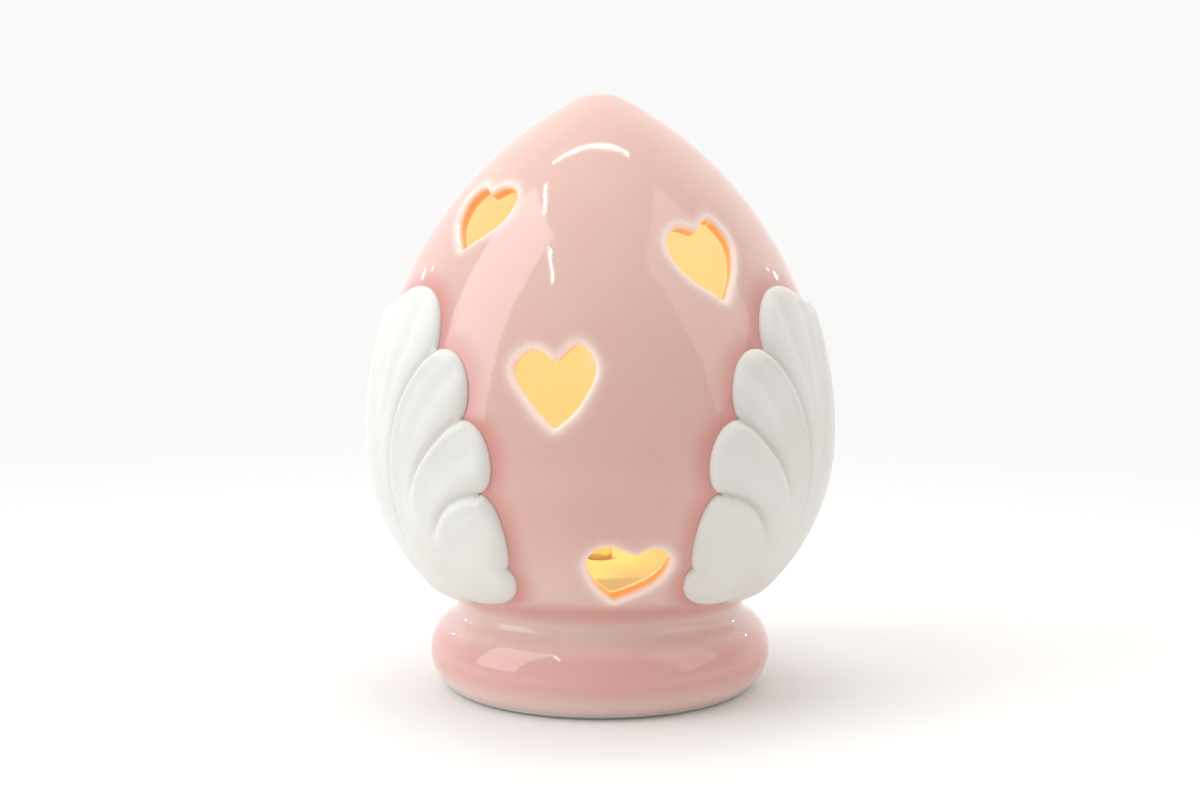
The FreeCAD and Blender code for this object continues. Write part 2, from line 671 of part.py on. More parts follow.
def make_door():
    """Flat door with a pad that closes the battery well and a seat for its captive screw."""
    middle = f"(({DOOR_LEFT}) + ({DOOR_RIGHT}))/2"
    plate = block("door_plate", f"{DOOR_RIGHT} - ({DOOR_LEFT}) - 2*door_gap",
                  f"{WELL_WIDTH} + 2*door_ledge - 2*door_gap",
                  "door_thickness", middle, "battery_place", "unit_gap")
    pad = block("door_pad", f"{WELL_LENGTH} - 2*door_gap", f"{WELL_WIDTH} - 2*door_gap",
                "base_thickness - door_thickness - fit_gap", y="battery_place", z="unit_gap + door_thickness")
    hole = cylinder("door_hole", "screw_radius + fit_gap", BASE_TOP, DOOR_SCREW_X, "battery_place")
    seat = cylinder("door_seat", "screw_head_radius + fit_gap", SCREW_SEAT, DOOR_SCREW_X, "battery_place")
    cut("battery_door", fused("door_solid", plate, pad), hole, seat)


# ---- light unit: circuit, lamp and battery ----

def make_board():
    disc = cylinder("board_disc", BOARD_RADIUS, "board_thickness", z=BOARD_BOTTOM)
    holes = [cylinder(f"board_stake_hole{number}", "stake_radius + fit_gap", BOARD_TOP, x, y)
             for number, (x, y) in enumerate(around(PEG_CIRCLE, 2, 0.0))]
    holes += [cylinder(f"board_lead_hole{number}", "lead_hole_radius", BOARD_TOP, x, y)
              for number, (x, y) in enumerate(around("lead_pitch/2", 2, 0.0))]
    cut("circuit_board", disc, *holes)


def make_lamp():
    """Five millimetre domed diode on the board, its two leads through the board."""
    dome_rise = f"{BOARD_TOP} + lens_height - lens_radius"
    dome = new("Part::Sphere", "lens_dome")
    bind(dome, Radius="lens_radius", z=dome_rise)
    fused("led_lens", dome,
          cylinder("lens_barrel", "lens_radius", "lens_height - lens_radius", z=BOARD_TOP),
          cylinder("lens_rim", "lens_radius + lens_flange", "lens_flange_height", z=BOARD_TOP))
    leads = [block(f"lead{number}", "lead_size", "lead_size", "board_thickness + 2*lead_size", x, y,
                   f"{BOARD_BOTTOM} - 2*lead_size")
             for number, (x, y) in enumerate(around("lead_pitch/2", 2, 0.0))]
    grouped("led_leads", *leads)


def lying(thing):
    """Lay an upright cylinder along +X."""
    quarter_turn = FreeCAD.Rotation(FreeCAD.Vector(0, 1, 0), 90)
    thing.Placement = FreeCAD.Placement(FreeCAD.Vector(0, 0, 0), quarter_turn)
    return thing


def rod(name, radius, length, x, y, z):
    """Cylinder along +X from a point on its axis."""
    thing = lying(new("Part::Cylinder", name))
    bind(thing, Radius=radius, Height=length, x=x, y=y, z=z)
    return thing


def make_resistor():
    axis = f"{BOARD_BOTTOM} - resistor_radius - fit_gap"
    lead = "lead_size/2"
    place = "-resistor_place"
    parts = [rod("resistor_body", "resistor_radius", "resistor_length", "-resistor_length/2", place, axis),
             rod("resistor_wire", lead, "resistor_span", "-resistor_span/2", place, axis)]
    ends = ("lead_size/2 - resistor_span/2", "resistor_span/2 - lead_size/2")
    parts += [cylinder(f"resistor_leg{number}", lead, f"{BOARD_BOTTOM} - ({axis})", x, place, axis)
              for number, x in enumerate(ends)]
    fused("resistor", *parts)


def make_cells():
    """Three button cells in a row, cans towards the positive contact."""
    for number in range(3):
        start = f"contact_thickness - {WELL_END} + {number}*cell_thickness"
        can = rod(f"cell{number}_can", "cell_radius", "cell_thickness - cell_cap_height",
                  start, "battery_place", CELL_AXIS)
        cap = rod(f"cell{number}_cap", "cell_radius - cell_cap_edge", "cell_thickness",
                  start, "battery_place", CELL_AXIS)
        fused(f"cell_{number + 1}", can, cap)


def make_contacts():
    """Flat positive contact and bowed negative contact, each with a tab through the well's roof."""
    plate_bottom = f"{CELL_AXIS} - cell_radius + box_wall"
    tab_height = "box_wall + contact_tab_height"
    for name, side in (("positive", "-1"), ("negative", "1")):
        x = f"{side}*({WELL_END} - contact_thickness/2)"
        plate = block(f"{name}_plate", "contact_thickness", "contact_width",
                      f"{WELL_TOP} - ({plate_bottom})", x, "battery_place", plate_bottom)
        tab = block(f"{name}_tab", "contact_thickness", "contact_tab", tab_height,
                    x, "battery_place", WELL_TOP)
        pieces = [plate, tab]
        if name == "negative":
            pieces.append(make_contact_bow(plate_bottom))
        fused(f"contact_{name}", *pieces)


def make_contact_bow(foot):
    """Bowed finger that presses the last cell."""
    body, sketch = body_with_sketch("contact_bow_strip", "XZ_Plane")
    wall_face = f"{WELL_END} - contact_thickness"
    crest = f"{wall_face} - contact_bow"
    inner = f"{crest} + contact_thickness"
    half = "cell_radius/8"
    draw_polygon(sketch, [
        (wall_face, foot), (wall_face, f"{foot} + 2*contact_thickness"), (inner, f"{CELL_AXIS} - {half}"),
        (inner, f"{CELL_AXIS} + {half}"), (f"{inner} + contact_bow/2", f"{CELL_AXIS} + cell_radius/2"),
        (f"{crest} + contact_bow/2", f"{CELL_AXIS} + cell_radius/2 + contact_thickness"),
        (crest, f"{CELL_AXIS} + {half}"), (crest, f"{CELL_AXIS} - {half}")])
    pad = body.newObject("PartDesign::Pad", "contact_bow_pad")
    pad.Profile = sketch
    pad.Midplane = True
    pad.setExpression("Length", cells("contact_width/2"))
    body.Tip = pad
    body.setExpression("Placement.Base.y", cells("battery_place"))
    return body


# ---- switch and wires ----

def make_switch():
    """Slide switch on the base, its knob through the base's slot, and three terminals on top."""
    case = block("switch_box", "switch_length", "switch_width", "switch_height",
                 y="-switch_place", z=BASE_TOP)
    room = block("switch_room", "knob_length + knob_travel + 2*door_gap", "knob_width + 2*door_gap",
                 f"{BASE_TOP} + knob_entry + fit_gap", y="-switch_place")
    cut("switch_case", case, room)
    block("switch_knob", "knob_length", "knob_width", "base_thickness + knob_entry - 2*fit_gap",
          "-knob_travel/2", "-switch_place", "unit_gap + 2*fit_gap")
    terminals = [block(f"terminal{number}", "terminal_size", "terminal_size", "terminal_height",
                       f"{number - 1}*terminal_pitch", "-switch_place", f"{BASE_TOP} + switch_height")
                 for number in range(3)]
    grouped("switch_terminals", *terminals)


def make_wire(name, route):
    """Insulated wire along straight runs joined by tangent arcs as large as the runs allow."""
    spots = [FreeCAD.Vector(*[value(text) for text in spot]) for spot in route]
    edges, start = [], spots[0]
    for before, corner, after in zip(spots, spots[1:], spots[2:]):
        arriving, leaving = corner - before, after - corner
        half_turn = arriving.getAngle(leaving) / 2
        back = BEND_SHARE * min(arriving.Length, leaving.Length)
        into, out = corner - arriving.normalize() * back, corner + leaving.normalize() * back
        to_centre = (leaving - arriving).normalize()
        radius = back / math.tan(half_turn)
        centre = corner + to_centre * (radius / math.cos(half_turn))
        edges.append(Part.LineSegment(start, into).toShape())
        edges.append(Part.Arc(into, centre - to_centre * radius, out).toShape())
        start = out
    edges.append(Part.LineSegment(start, spots[-1]).toShape())
    path = Part.Wire(edges)
    rim = Part.Circle(spots[0], spots[1] - spots[0], value("wire_radius")).toShape()
    feature = new("Part::Feature", name)
    feature.Shape = path.makePipeShell([Part.Wire([rim])], True, False)


def make_wires():
    """Positive contact to switch, switch to board, negative contact to board."""
    tab_rise = f"{WELL_TOP} + box_wall + wire_radius + fit_gap"
    tab_side = "battery_place - contact_tab/2"
    tab_across = f"({WELL_END} - contact_thickness/2)"
    terminal_top = f"{BASE_TOP} + switch_height + terminal_height"
    aside = "wire_aside - switch_place"
    far_side = f"{tab_side} - wire_turn"
    make_wire("wire_positive", [
        (f"-{tab_across}", tab_side, tab_rise), (f"-{tab_across}", "-battery_place", tab_rise),
        ("-1.5*terminal_pitch - wire_radius", "wire_sag - switch_place", f"{tab_rise} - wire_sag"),
        ("-terminal_pitch", "-switch_place", f"{terminal_top} + wire_rise"),
        ("-terminal_pitch", "-switch_place", terminal_top)])
    make_wire("wire_switched", [
        ("0", "-switch_place", terminal_top), ("0", "-switch_place", f"{terminal_top} + wire_rise"),
        ("0", aside, f"{BOARD_BOTTOM} - wire_aside"), ("0", aside, BOARD_BOTTOM)])
    make_wire("wire_negative", [
        (tab_across, tab_side, tab_rise), (tab_across, f"{tab_side} - wire_reach", tab_rise),
        (f"{tab_across} - wire_shift", far_side, f"{BOARD_BOTTOM} - wire_dip"),
        (f"{tab_across} - wire_shift", far_side, BOARD_BOTTOM)])


NODES = (
    "porcelain_shell", "porcelain_side_left", "porcelain_side_right", "leaf_left", "leaf_right",
    "led_housing", "led_base", "grip_ring", "base_screws", "battery_door", "door_screw",
    "circuit_board", "led_lens", "led_leads", "resistor",
    "cell_1", "cell_2", "cell_3", "contact_positive", "contact_negative",
    "switch_case", "switch_knob", "switch_terminals", "wire_positive", "wire_switched", "wire_negative",
)


def main():
    outline = Outline()
    make_shell(outline)
    make_leaves(outline)
    make_housing()
    make_base()
    make_ring()
    make_screws()
    make_door()
    make_board()
    make_lamp()
    make_resistor()
    make_cells()
    make_contacts()
    make_switch()
    make_wires()
    doc.recompute()
    broken = [thing.Name for thing in doc.Objects if {"Invalid", "Error"} & set(thing.State)]
    if broken:
        raise RuntimeError(f"objects that did not build: {broken}")
    os.makedirs("parts", exist_ok=True)
    for name in NODES:
        node = doc.getObject(name)
        if node.Shape.isNull() or not node.Shape.isValid() or not node.Shape.Solids:
            raise RuntimeError(f"{name} has no valid solid")
        node.Label = name
        node.Shape.exportStep(f"parts/{name}.step")
        print(name, len(node.Shape.Solids), round(node.Shape.Volume, 2))


main()
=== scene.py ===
import json
import math

import bmesh
import bpy
import numpy as np
from bpy.props import FloatProperty, FloatVectorProperty, IntProperty, PointerProperty
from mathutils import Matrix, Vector
from mathutils.geometry import delaunay_2d_cdt
from mathutils.kdtree import KDTree

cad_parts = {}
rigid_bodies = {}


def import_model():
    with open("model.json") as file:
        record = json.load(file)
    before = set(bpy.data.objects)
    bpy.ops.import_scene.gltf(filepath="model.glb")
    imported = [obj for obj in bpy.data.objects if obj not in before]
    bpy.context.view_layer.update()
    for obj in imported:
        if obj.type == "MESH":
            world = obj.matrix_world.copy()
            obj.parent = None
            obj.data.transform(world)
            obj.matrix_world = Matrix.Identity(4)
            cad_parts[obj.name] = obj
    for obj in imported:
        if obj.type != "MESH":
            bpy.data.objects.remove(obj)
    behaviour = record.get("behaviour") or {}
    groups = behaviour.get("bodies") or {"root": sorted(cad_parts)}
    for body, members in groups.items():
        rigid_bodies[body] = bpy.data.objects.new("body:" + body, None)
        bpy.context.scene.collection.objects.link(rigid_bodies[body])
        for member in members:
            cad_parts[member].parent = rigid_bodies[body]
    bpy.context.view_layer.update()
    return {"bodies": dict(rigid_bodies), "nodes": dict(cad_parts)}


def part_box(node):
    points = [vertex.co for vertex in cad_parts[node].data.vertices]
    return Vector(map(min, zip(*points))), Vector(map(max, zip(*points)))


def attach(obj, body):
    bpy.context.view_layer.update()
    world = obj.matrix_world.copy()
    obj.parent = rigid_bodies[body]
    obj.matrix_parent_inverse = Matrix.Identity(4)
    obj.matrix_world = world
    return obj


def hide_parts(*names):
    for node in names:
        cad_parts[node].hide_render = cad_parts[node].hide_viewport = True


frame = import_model()

bl_info = {
    "name": "Porcelain Lantern",
    "version": (1, 0, 0),
    "blender": (4, 5, 0),
    "location": "3D View > Sidebar > Lantern",
    "description": "Builds a glazed egg lantern with leaves, hearts and its light unit round a CAD frame",
    "category": "Add Mesh",
}

MM = 0.001


# ---- sizes and colours that a user can change ----

def length(name, description, default):
    return FloatProperty(name=name, description=description, default=default, unit="LENGTH", precision=5)


def colour(name, description, default):
    return FloatVectorProperty(name=name, description=description, default=default,
                               subtype="COLOR", size=3, min=0.0, max=1.0)


class ShellSizes(bpy.types.PropertyGroup):
    height: length("Height", "Apex above the standing ring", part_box("porcelain_shell")[1].z)
    belly_radius: length("Belly radius", "Widest radius of the egg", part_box("porcelain_side_right")[1].x)
    belly_rise: length("Belly height", "Height of the widest place", 52 * MM)
    apex_radius: length("Apex radius", "Rounding of the apex", 11 * MM)
    neck_radius: length("Neck radius", "Narrowest radius above the foot", 29.2 * MM)
    neck_hollow: length("Neck hollow", "Radius of the hollow at the neck", 3 * MM)
    foot_bulge: length("Foot bulge", "Foot's reach beyond the neck", 5.6 * MM)
    foot_rise: length("Foot height", "Height of the foot's widest place", 7.5 * MM)
    foot_round: length("Foot round", "Radius of the foot's side", 8.5 * MM)
    wall: length("Wall", "Thickness of the porcelain", 3.3 * MM)
    mouth_lip: length("Mouth lip", "Step inside the neck at the mouth", 0.5 * MM)
    lip_round: length("Cut round", "Rounding of the glaze at a cut-out's edge", 0.9 * MM)
    inner_round: length("Inner round", "Rounding of a cut-out's inner edge", 0.5 * MM)
    mesh_step: length("Mesh step", "Spacing of the outer mesh", 1.0 * MM)
    columns: IntProperty(name="Columns", description="Faces round the shell", default=264, min=48)


class LeafSizes(bpy.types.PropertyGroup):
    relief: length("Relief", "Height of a leaf above the egg", 1.85 * MM)
    edge: length("Edge", "Width of the rounding at a leaf's edge", 3.0 * MM)
    sunk: length("Sunk", "Depth of a leaf's hidden side below the glaze", 0.5 * MM)
    crease: length("Crease", "Depth of the creases between lobes", 1.15 * MM)
    roll: length("Roll", "Height of the rolled edge beside a crease", 0.42 * MM)
    channel: length("Channel", "Depth of the soft channel along a lobe", 0.36 * MM)
    mesh_step: length("Mesh step", "Spacing of the leaf mesh", 0.6 * MM)


class Finishes(bpy.types.PropertyGroup):
    glaze: colour("Glaze", "Pink glaze at its usual thickness", (0.735, 0.435, 0.375))
    pooled: colour("Pooled glaze", "Glaze where it has run thick", (0.66, 0.265, 0.235))
    # Pale glaze colour: glaze drawn thin round a cut-out, also used for the paler tip and for the painted
    # bounce light on the underside
    pale_glaze: colour("Thinned glaze", "Glaze drawn thin round a cut-out", (0.90, 0.77, 0.70))
    bisque: colour("Bisque", "Bare white porcelain", (0.80, 0.785, 0.755))
    glow: colour("Glow", "Lamplight on the inside of the shell", (0.30, 0.232, 0.105))
    ember: colour("Ember", "Lamplight in the cut walls", (0.85, 0.15, 0.015))
    glow_strength: FloatProperty(name="Glow strength", description="Strength of the lit inside",
                                 default=1.0)


class LanternSettings(bpy.types.PropertyGroup):
    shell: PointerProperty(name="Shell", description="Sizes of the shell", type=ShellSizes)
    leaf: PointerProperty(name="Leaf", description="Sizes of the leaves", type=LeafSizes)
    finish: PointerProperty(name="Finish", description="Colours of the finishes", type=Finishes)


def settings():
    return bpy.context.scene.lantern


def add_object(name, data):
    """New object of some data, linked to the scene."""
    made = bpy.data.objects.new(name, data)
    bpy.context.scene.collection.objects.link(made)
    return made


def mesh_from(name, work):
    """New mesh that holds what a bmesh holds, which is then freed."""
    data = bpy.data.meshes.new(name)
    work.to_mesh(data)
    work.free()
    return data


# ---- shader building ----

class Signal:
    """A shader value; arithmetic on it adds Math nodes."""

    def __init__(self, finish, socket):
        self.finish, self.socket = finish, socket

    def math(self, operation, first, second):
        return self.finish.node("ShaderNodeMath", {"operation": operation}, {0: first, 1: second})

    def __add__(self, other):
        return self.math("ADD", self, other)

    def __sub__(self, other):
        return self.math("SUBTRACT", self, other)

    def __rsub__(self, other):
        return self.math("SUBTRACT", other, self)

    def __mul__(self, other):
        return self.math("MULTIPLY", self, other)

    def __truediv__(self, other):
        return self.math("DIVIDE", self, other)

    def __rtruediv__(self, other):
        return self.math("DIVIDE", other, self)

    def __pow__(self, other):
        return self.math("POWER", self, other)

    __radd__ = __add__
    __rmul__ = __mul__

    def most(self, other):
        return self.math("MAXIMUM", self, other)


class Finish:
    """A material under construction, with its shader's constants set on its own sockets."""

    def __init__(self, name, **constants):
        self.material = bpy.data.materials.new(name)
        self.material.use_nodes = True
        self.tree = self.material.node_tree
        self.tree.nodes.clear()
        self.shader = self.tree.nodes.new("ShaderNodeBsdfPrincipled")
        output = self.tree.nodes.new("ShaderNodeOutputMaterial")
        self.tree.links.new(self.shader.outputs[0], output.inputs["Surface"])
        self.set(**constants)
        self.place = self.node("ShaderNodeTexCoord", {}, {}, "Object")

    def feed(self, socket, amount):
        if isinstance(amount, Signal):
            self.tree.links.new(amount.socket, socket)
        elif socket.type == "RGBA" and len(amount) == 3:
            socket.default_value = (*amount, 1.0)
        else:
            socket.default_value = amount

    def node(self, kind, options, inputs, output=0):
        made = self.tree.nodes.new(kind)
        for option, choice in options.items():
            setattr(made, option, choice)
        for socket, amount in inputs.items():
            self.feed(made.inputs[socket], amount)
        return Signal(self, made.outputs[output])

    def attribute(self, name):
        return self.node("ShaderNodeAttribute", {"attribute_name": name}, {}, "Fac")

    def axis(self, number):
        return self.node("ShaderNodeSeparateXYZ", {}, {0: self.place}, number)

    def stretched(self, scale):
        return self.node("ShaderNodeMapping", {}, {"Vector": self.place, "Scale": scale})

    def noise(self, scale, detail=2.0, vector=None, roughness=0.5):
        return self.node("ShaderNodeTexNoise", {}, {"Vector": vector or self.place, "Scale": scale,
                                                   "Detail": detail, "Roughness": roughness}, "Fac")

    def cells(self, scale, feature="F1"):
        return self.node("ShaderNodeTexVoronoi", {"feature": feature},
                         {"Vector": self.place, "Scale": scale}, "Distance")

    def between(self, amount, low, high, start=0.0, end=1.0):
        """Smooth step of a signal from one level to another."""
        return self.node("ShaderNodeMapRange", {"interpolation_type": "SMOOTHSTEP"},
                         {"Value": amount, "From Min": low, "From Max": high,
                          "To Min": start, "To Max": end})

    def blend(self, amount, first, second):
        """Colour between two, by the Mix node's colour sockets."""
        return self.node("ShaderNodeMix", {"data_type": "RGBA"}, {0: amount, 6: first, 7: second}, 2)

    def bump(self, height, distance, strength=1.0):
        normal = self.node("ShaderNodeBump", {},
                           {"Strength": strength, "Distance": distance, "Height": height})
        self.feed(self.shader.inputs["Normal"], normal)

    def set(self, **amounts):
        """Feed the shader's sockets, named in lower case with underscores."""
        for key, amount in amounts.items():
            name = key.replace("_", " ").title().replace("Ior", "IOR")
            self.feed(self.shader.inputs[name], amount)
        return self.material


# ---- finishes of the porcelain ----

# Reach round a cut-out, along the egg, of the thin glaze and of the light that comes through it
THIN_REACH, LIT_REACH = 3.0 * MM, 1.7 * MM
# Reach beside a leaf over which the glaze pools, and the uneven drift of every such border
POOL_REACH, DRIFT = 5.2 * MM, 0.0022
# Heights from none to full: glaze pooled in the neck, glaze pooled round the foot, the bare standing ring
NECK_FROM_BELOW, NECK_FROM_ABOVE = (16.5 * MM, 20.2 * MM), (23.5 * MM, 21.0 * MM)
FOOT_FROM_BELOW, FOOT_FROM_ABOVE = (2.5 * MM, 7 * MM), (15.5 * MM, 11 * MM)
BARE_RING = (1.25 * MM, 0.85 * MM)
# Heights over which the colour turns paler towards the tip, and towards the neck, where the paler underside
# is painted bounce light from the floor
TIP_FADE, UNDERSIDE_BOUNCE_LIT = (20 * MM, 115 * MM), (44 * MM, 18 * MM)
# The second colour is painted light: the lamp's orange glow on the bare cut walls, put into their base
# colour
BARE_GRIT, LAMPLIT_CUT, SPECK = (0.42, 0.40, 0.37), (0.90, 0.26, 0.09), (0.20, 0.09, 0.06)
LOW_GLOW, LIT_EDGE, DARK = (0.30, 0.19, 0.06), (0.20, 0.135, 0.095), (0.0, 0.0, 0.0)


def glaze_finish():
    """Pink glaze: thick in creases, thin round the cut-outs, bare on the standing ring, lit within."""
    look = settings().finish
    made = Finish("pink_glaze", ior=1.5, emission_strength=look.glow_strength)
    heart, leaf, inside = (made.attribute(name) for name in ("heart_gap", "leaf_gap", "inside"))
    height = made.axis(2)
    cloud, mottle = made.noise(45.0, 3.0), made.noise(420.0, 3.0, roughness=0.7)
    drift = (cloud - 0.5) * DRIFT
    pool = made.between(leaf + drift, POOL_REACH, 0.0) * (0.5 + cloud * 0.8)
    neck = made.between(height + drift, *NECK_FROM_ABOVE) * made.between(height, *NECK_FROM_BELOW)
    thick = (pool * 0.8).most(neck * 0.58)
    tone = made.blend(made.between(height, *TIP_FADE) * 0.24, look.glaze, look.pale_glaze)
    # Painted light: the underside turns paler towards the neck, standing in for light bounced up from the
    # floor
    tone = made.blend(made.between(height, *UNDERSIDE_BOUNCE_LIT) * 0.5, tone, look.pale_glaze)
    girdle = made.between(height, *FOOT_FROM_ABOVE) * made.between(height, *FOOT_FROM_BELOW)
    tone = made.blend(girdle * 0.6, tone, look.pooled)
    tone = made.blend(made.between(cloud, 0.35, 0.7) * 0.10, tone, look.pooled)
    tone = made.blend(made.between(mottle, 0.5, 0.75) * 0.07, tone, look.pooled)
    tone = made.blend(thick, tone, look.pooled)
    halo = made.between(heart + drift * 0.6, THIN_REACH, 0.0)
    tone = made.blend(halo * 0.65, tone, look.pale_glaze)
    rim_edge = made.between(height + drift * 0.25, *BARE_RING)
    grain = made.noise(2600.0, 2.0)
    bare = made.blend(grain * 0.25, look.bisque, BARE_GRIT)
    tone = made.blend(rim_edge.most(made.between(inside, 0.02, 0.2)), tone, bare)
    entered = made.between(inside, 0.02, 0.25)
    # Painted light: the cut walls take the lamp's orange in their base colour
    cut_wall = entered * made.between(inside, 0.7, 0.5) * made.between(height, 16 * MM, 22 * MM)
    tone = made.blend(cut_wall * 0.9, tone, LAMPLIT_CUT)
    specks = made.between(made.cells(210.0), 0.045, 0.02) * made.between(made.noise(60.0), 0.6, 0.64)
    tone = made.blend(specks * 0.55, tone, SPECK)
    wall_lit = made.between(inside, 0.3, 0.7)
    deep = made.blend(made.between(height, 88 * MM, 40 * MM), look.glow, LOW_GLOW)
    lamplight = made.blend(wall_lit, look.ember, deep)
    hollow = entered * made.between(height, 4 * MM, 22 * MM)
    uneven = 0.72 + cloud * 0.5
    edge_glow = made.between(heart + drift * 0.4, LIT_REACH, 0.0) * (1 - hollow)
    around = made.blend(edge_glow, DARK, LIT_EDGE)
    emission = made.blend(hollow * uneven, around, lamplight)
    made.bump(made.noise(150.0, 2.0) * 0.7 + mottle * 0.06, 0.16 * MM, 0.5)
    return made.set(base_color=tone, roughness=(0.045 + mottle * 0.05).most(rim_edge * 0.75),
                    emission_color=emission)


def bisque_finish():
    """Unglazed white porcelain with a fine tooth; painted shade makes it a little darker in the creases and
    along the leaf's edge.
    """
    look = settings().finish
    made = Finish("white_bisque", ior=1.45, specular_ior_level=0.42, sheen_weight=0.12)
    crease = made.attribute("crease")
    cloud, tooth = made.noise(60.0, 4.0), made.noise(1900.0, 3.0, roughness=0.65)
    warm = tuple(channel * shade for channel, shade in zip(look.bisque, (0.90, 0.86, 0.80)))
    tone = made.blend(made.between(cloud, 0.35, 0.75) * 0.45, look.bisque, warm)
    # Painted shade in the creases and along the leaf's edge, from the crease values
    tone = made.blend(crease * 0.42, tone, (0.55, 0.50, 0.44))
    pits = made.between(made.cells(260.0), 0.07, 0.02) * made.between(made.noise(90.0), 0.6, 0.66)
    tone = made.blend(pits * 0.35, tone, (0.34, 0.30, 0.26))
    brushed = made.noise(160.0, 2.0)
    made.bump(brushed * 0.8 + tooth * 0.16 - pits * 0.5, 0.14 * MM, 0.55)
    return made.set(base_color=tone, roughness=0.48 + tooth * 0.16)


# ---- finishes of the light unit ----

def plastic_finish(name, shade, worn, roughness, spark=1500.0):
    """Moulded plastic: fine spark texture, faint flow marks and handling marks."""
    made = Finish(name, ior=1.47)
    flow = made.noise(30.0, 3.0, made.stretched((1.0, 1.0, 0.25)))
    texture = made.cells(spark, "SMOOTH_F1")
    scuffs = made.between(made.noise(220.0, 4.0, made.stretched((0.2, 1.0, 1.0)), 0.7), 0.6, 0.78)
    tone = made.blend(made.between(flow, 0.35, 0.7) * 0.35, shade, worn)
    tone = made.blend(scuffs * 0.3, tone, worn)
    made.bump(texture + scuffs * 0.4, 0.03 * MM, 0.6)
    return made.set(base_color=tone, roughness=roughness + texture * 0.12 + scuffs * 0.15)


def rubber_finish():
    """Soft grip ring: matte, dusty in its grooves."""
    made = Finish("soft_ring", ior=1.5, specular_ior_level=0.3, sheen_weight=0.25)
    dust, grain = made.noise(70.0, 4.0), made.noise(2400.0, 2.0)
    tone = made.blend(made.between(dust, 0.45, 0.75) * 0.5, (0.70, 0.69, 0.66), (0.80, 0.79, 0.77))
    made.bump(grain, 0.02 * MM, 0.7)
    return made.set(base_color=tone, roughness=0.72 + grain * 0.15)


def metal_finish(name, shade, dull, along=(1.0, 1.0, 1.0), roughness=0.24):
    """Metal with fine drawing lines along one way and dull patches."""
    made = Finish(name, metallic=1.0)
    lines = made.noise(900.0, 3.0, made.stretched(along), 0.7)
    patches = made.between(made.noise(130.0, 4.0), 0.45, 0.75)
    tone = made.blend(patches * 0.35, shade, dull)
    made.bump(lines, 0.012 * MM, 0.5)
    return made.set(base_color=tone, roughness=roughness + lines * 0.16 + patches * 0.14)


def board_finish():
    """Green solder mask with copper tracks under it and a woven core at its edge."""
    made = Finish("circuit_board", ior=1.5, coat_weight=0.35, coat_roughness=0.12)
    low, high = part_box("circuit_board")
    across, along, height = made.axis(0), made.axis(1), made.axis(2)
    tracks = made.node("ShaderNodeTexBrick", {"offset": 0.37, "squash": 1.0},
                       {"Vector": made.place, "Scale": 190.0, "Mortar Size": 0.035, "Color1": DARK,
                        "Color2": (0.12, 0.12, 0.12), "Mortar": (1.0, 1.0, 1.0)}, "Fac")
    mask = made.blend(tracks * 0.8, (0.016, 0.12, 0.045), (0.05, 0.27, 0.10))
    weave = made.node("ShaderNodeTexWave", {"wave_type": "BANDS", "bands_direction": "Z"},
                      {"Vector": made.place, "Scale": 900.0, "Distortion": 1.0}, "Fac")
    core = made.blend(weave, (0.46, 0.40, 0.16), (0.62, 0.57, 0.28))
    radius = (across ** 2.0 + along ** 2.0) ** 0.5
    edge = made.between(radius, high.x - 0.12 * MM, high.x - 0.04 * MM)
    tone = made.blend(edge, mask, core)
    middle = made.between(height, low.z + 0.2 * MM, high.z - 0.2 * MM)
    made.bump(tracks * (1 - edge) + middle * 0.1, 0.035 * MM, 0.8)
    return made.set(base_color=tone, roughness=0.34 + weave * edge * 0.3)


def resistor_finish():
    """Tan lacquered body with four value bands and tinned ends."""
    made = Finish("resistor_bands", ior=1.5)
    low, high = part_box("resistor")
    middle = (low.x + high.x) / 2
    across = made.axis(0) - middle
    tone = made.blend(made.noise(700.0), (0.60, 0.42, 0.22), (0.70, 0.52, 0.30))
    bands = ((-1.05, (0.55, 0.02, 0.02)), (-0.4, (0.50, 0.02, 0.02)), (0.25, (0.16, 0.05, 0.02)),
             (1.1, (0.62, 0.42, 0.07)))
    for spot, shade in bands:
        distance = ((across - spot * MM) ** 2.0) ** 0.5
        tone = made.blend(made.between(distance, 0.20 * MM, 0.16 * MM), tone, shade)
    end = made.between((across ** 2.0) ** 0.5, 1.66 * MM, 1.74 * MM)
    tone = made.blend(end, tone, (0.72, 0.72, 0.70))
    made.bump(made.noise(900.0), 0.02 * MM, 0.4)
    return made.set(base_color=tone, metallic=end, roughness=0.34 - end * 0.08)


def cell_finish():
    """Nickel-plated button cell: turned rings on its flat ends, a dark seal round its cap."""
    made = Finish("cell_nickel", metallic=1.0)
    low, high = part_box("cell_1")
    along, height = made.axis(1) - (low.y + high.y) / 2, made.axis(2) - (low.z + high.z) / 2
    radius = (along ** 2.0 + height ** 2.0) ** 0.5
    rings = made.node("ShaderNodeMath", {"operation": "SINE"}, {0: radius * 26000.0})
    seal = made.between(radius, 4.75 * MM, 4.9 * MM) * made.between(radius, 5.35 * MM, 5.2 * MM)
    smear = made.between(made.noise(170.0, 4.0), 0.45, 0.7)
    tone = made.blend(smear * 0.4, (0.74, 0.73, 0.71), (0.55, 0.53, 0.50))
    tone = made.blend(seal * 0.8, tone, (0.05, 0.07, 0.12))
    made.bump(rings * 0.5 + smear * 0.4, 0.01 * MM, 0.6)
    return made.set(base_color=tone, roughness=0.2 + smear * 0.18 + seal * 0.3)


def lens_finish():
    """Warm tinted resin of the diode, lit from inside."""
    made = Finish("lamp_resin", ior=1.5, transmission_weight=0.75, emission_color=(1.0, 0.42, 0.08),
                  emission_strength=0.1)
    swirl = made.noise(500.0, 2.0)
    tone = made.blend(swirl * 0.3, (1.0, 0.90, 0.66), (1.0, 0.80, 0.48))
    made.bump(swirl, 0.02 * MM, 0.2)
    return made.set(base_color=tone, roughness=0.06 + swirl * 0.05)


FINISHES = {"grip_ring": rubber_finish, "circuit_board": board_finish, "resistor": resistor_finish,
            "cell_1": cell_finish}
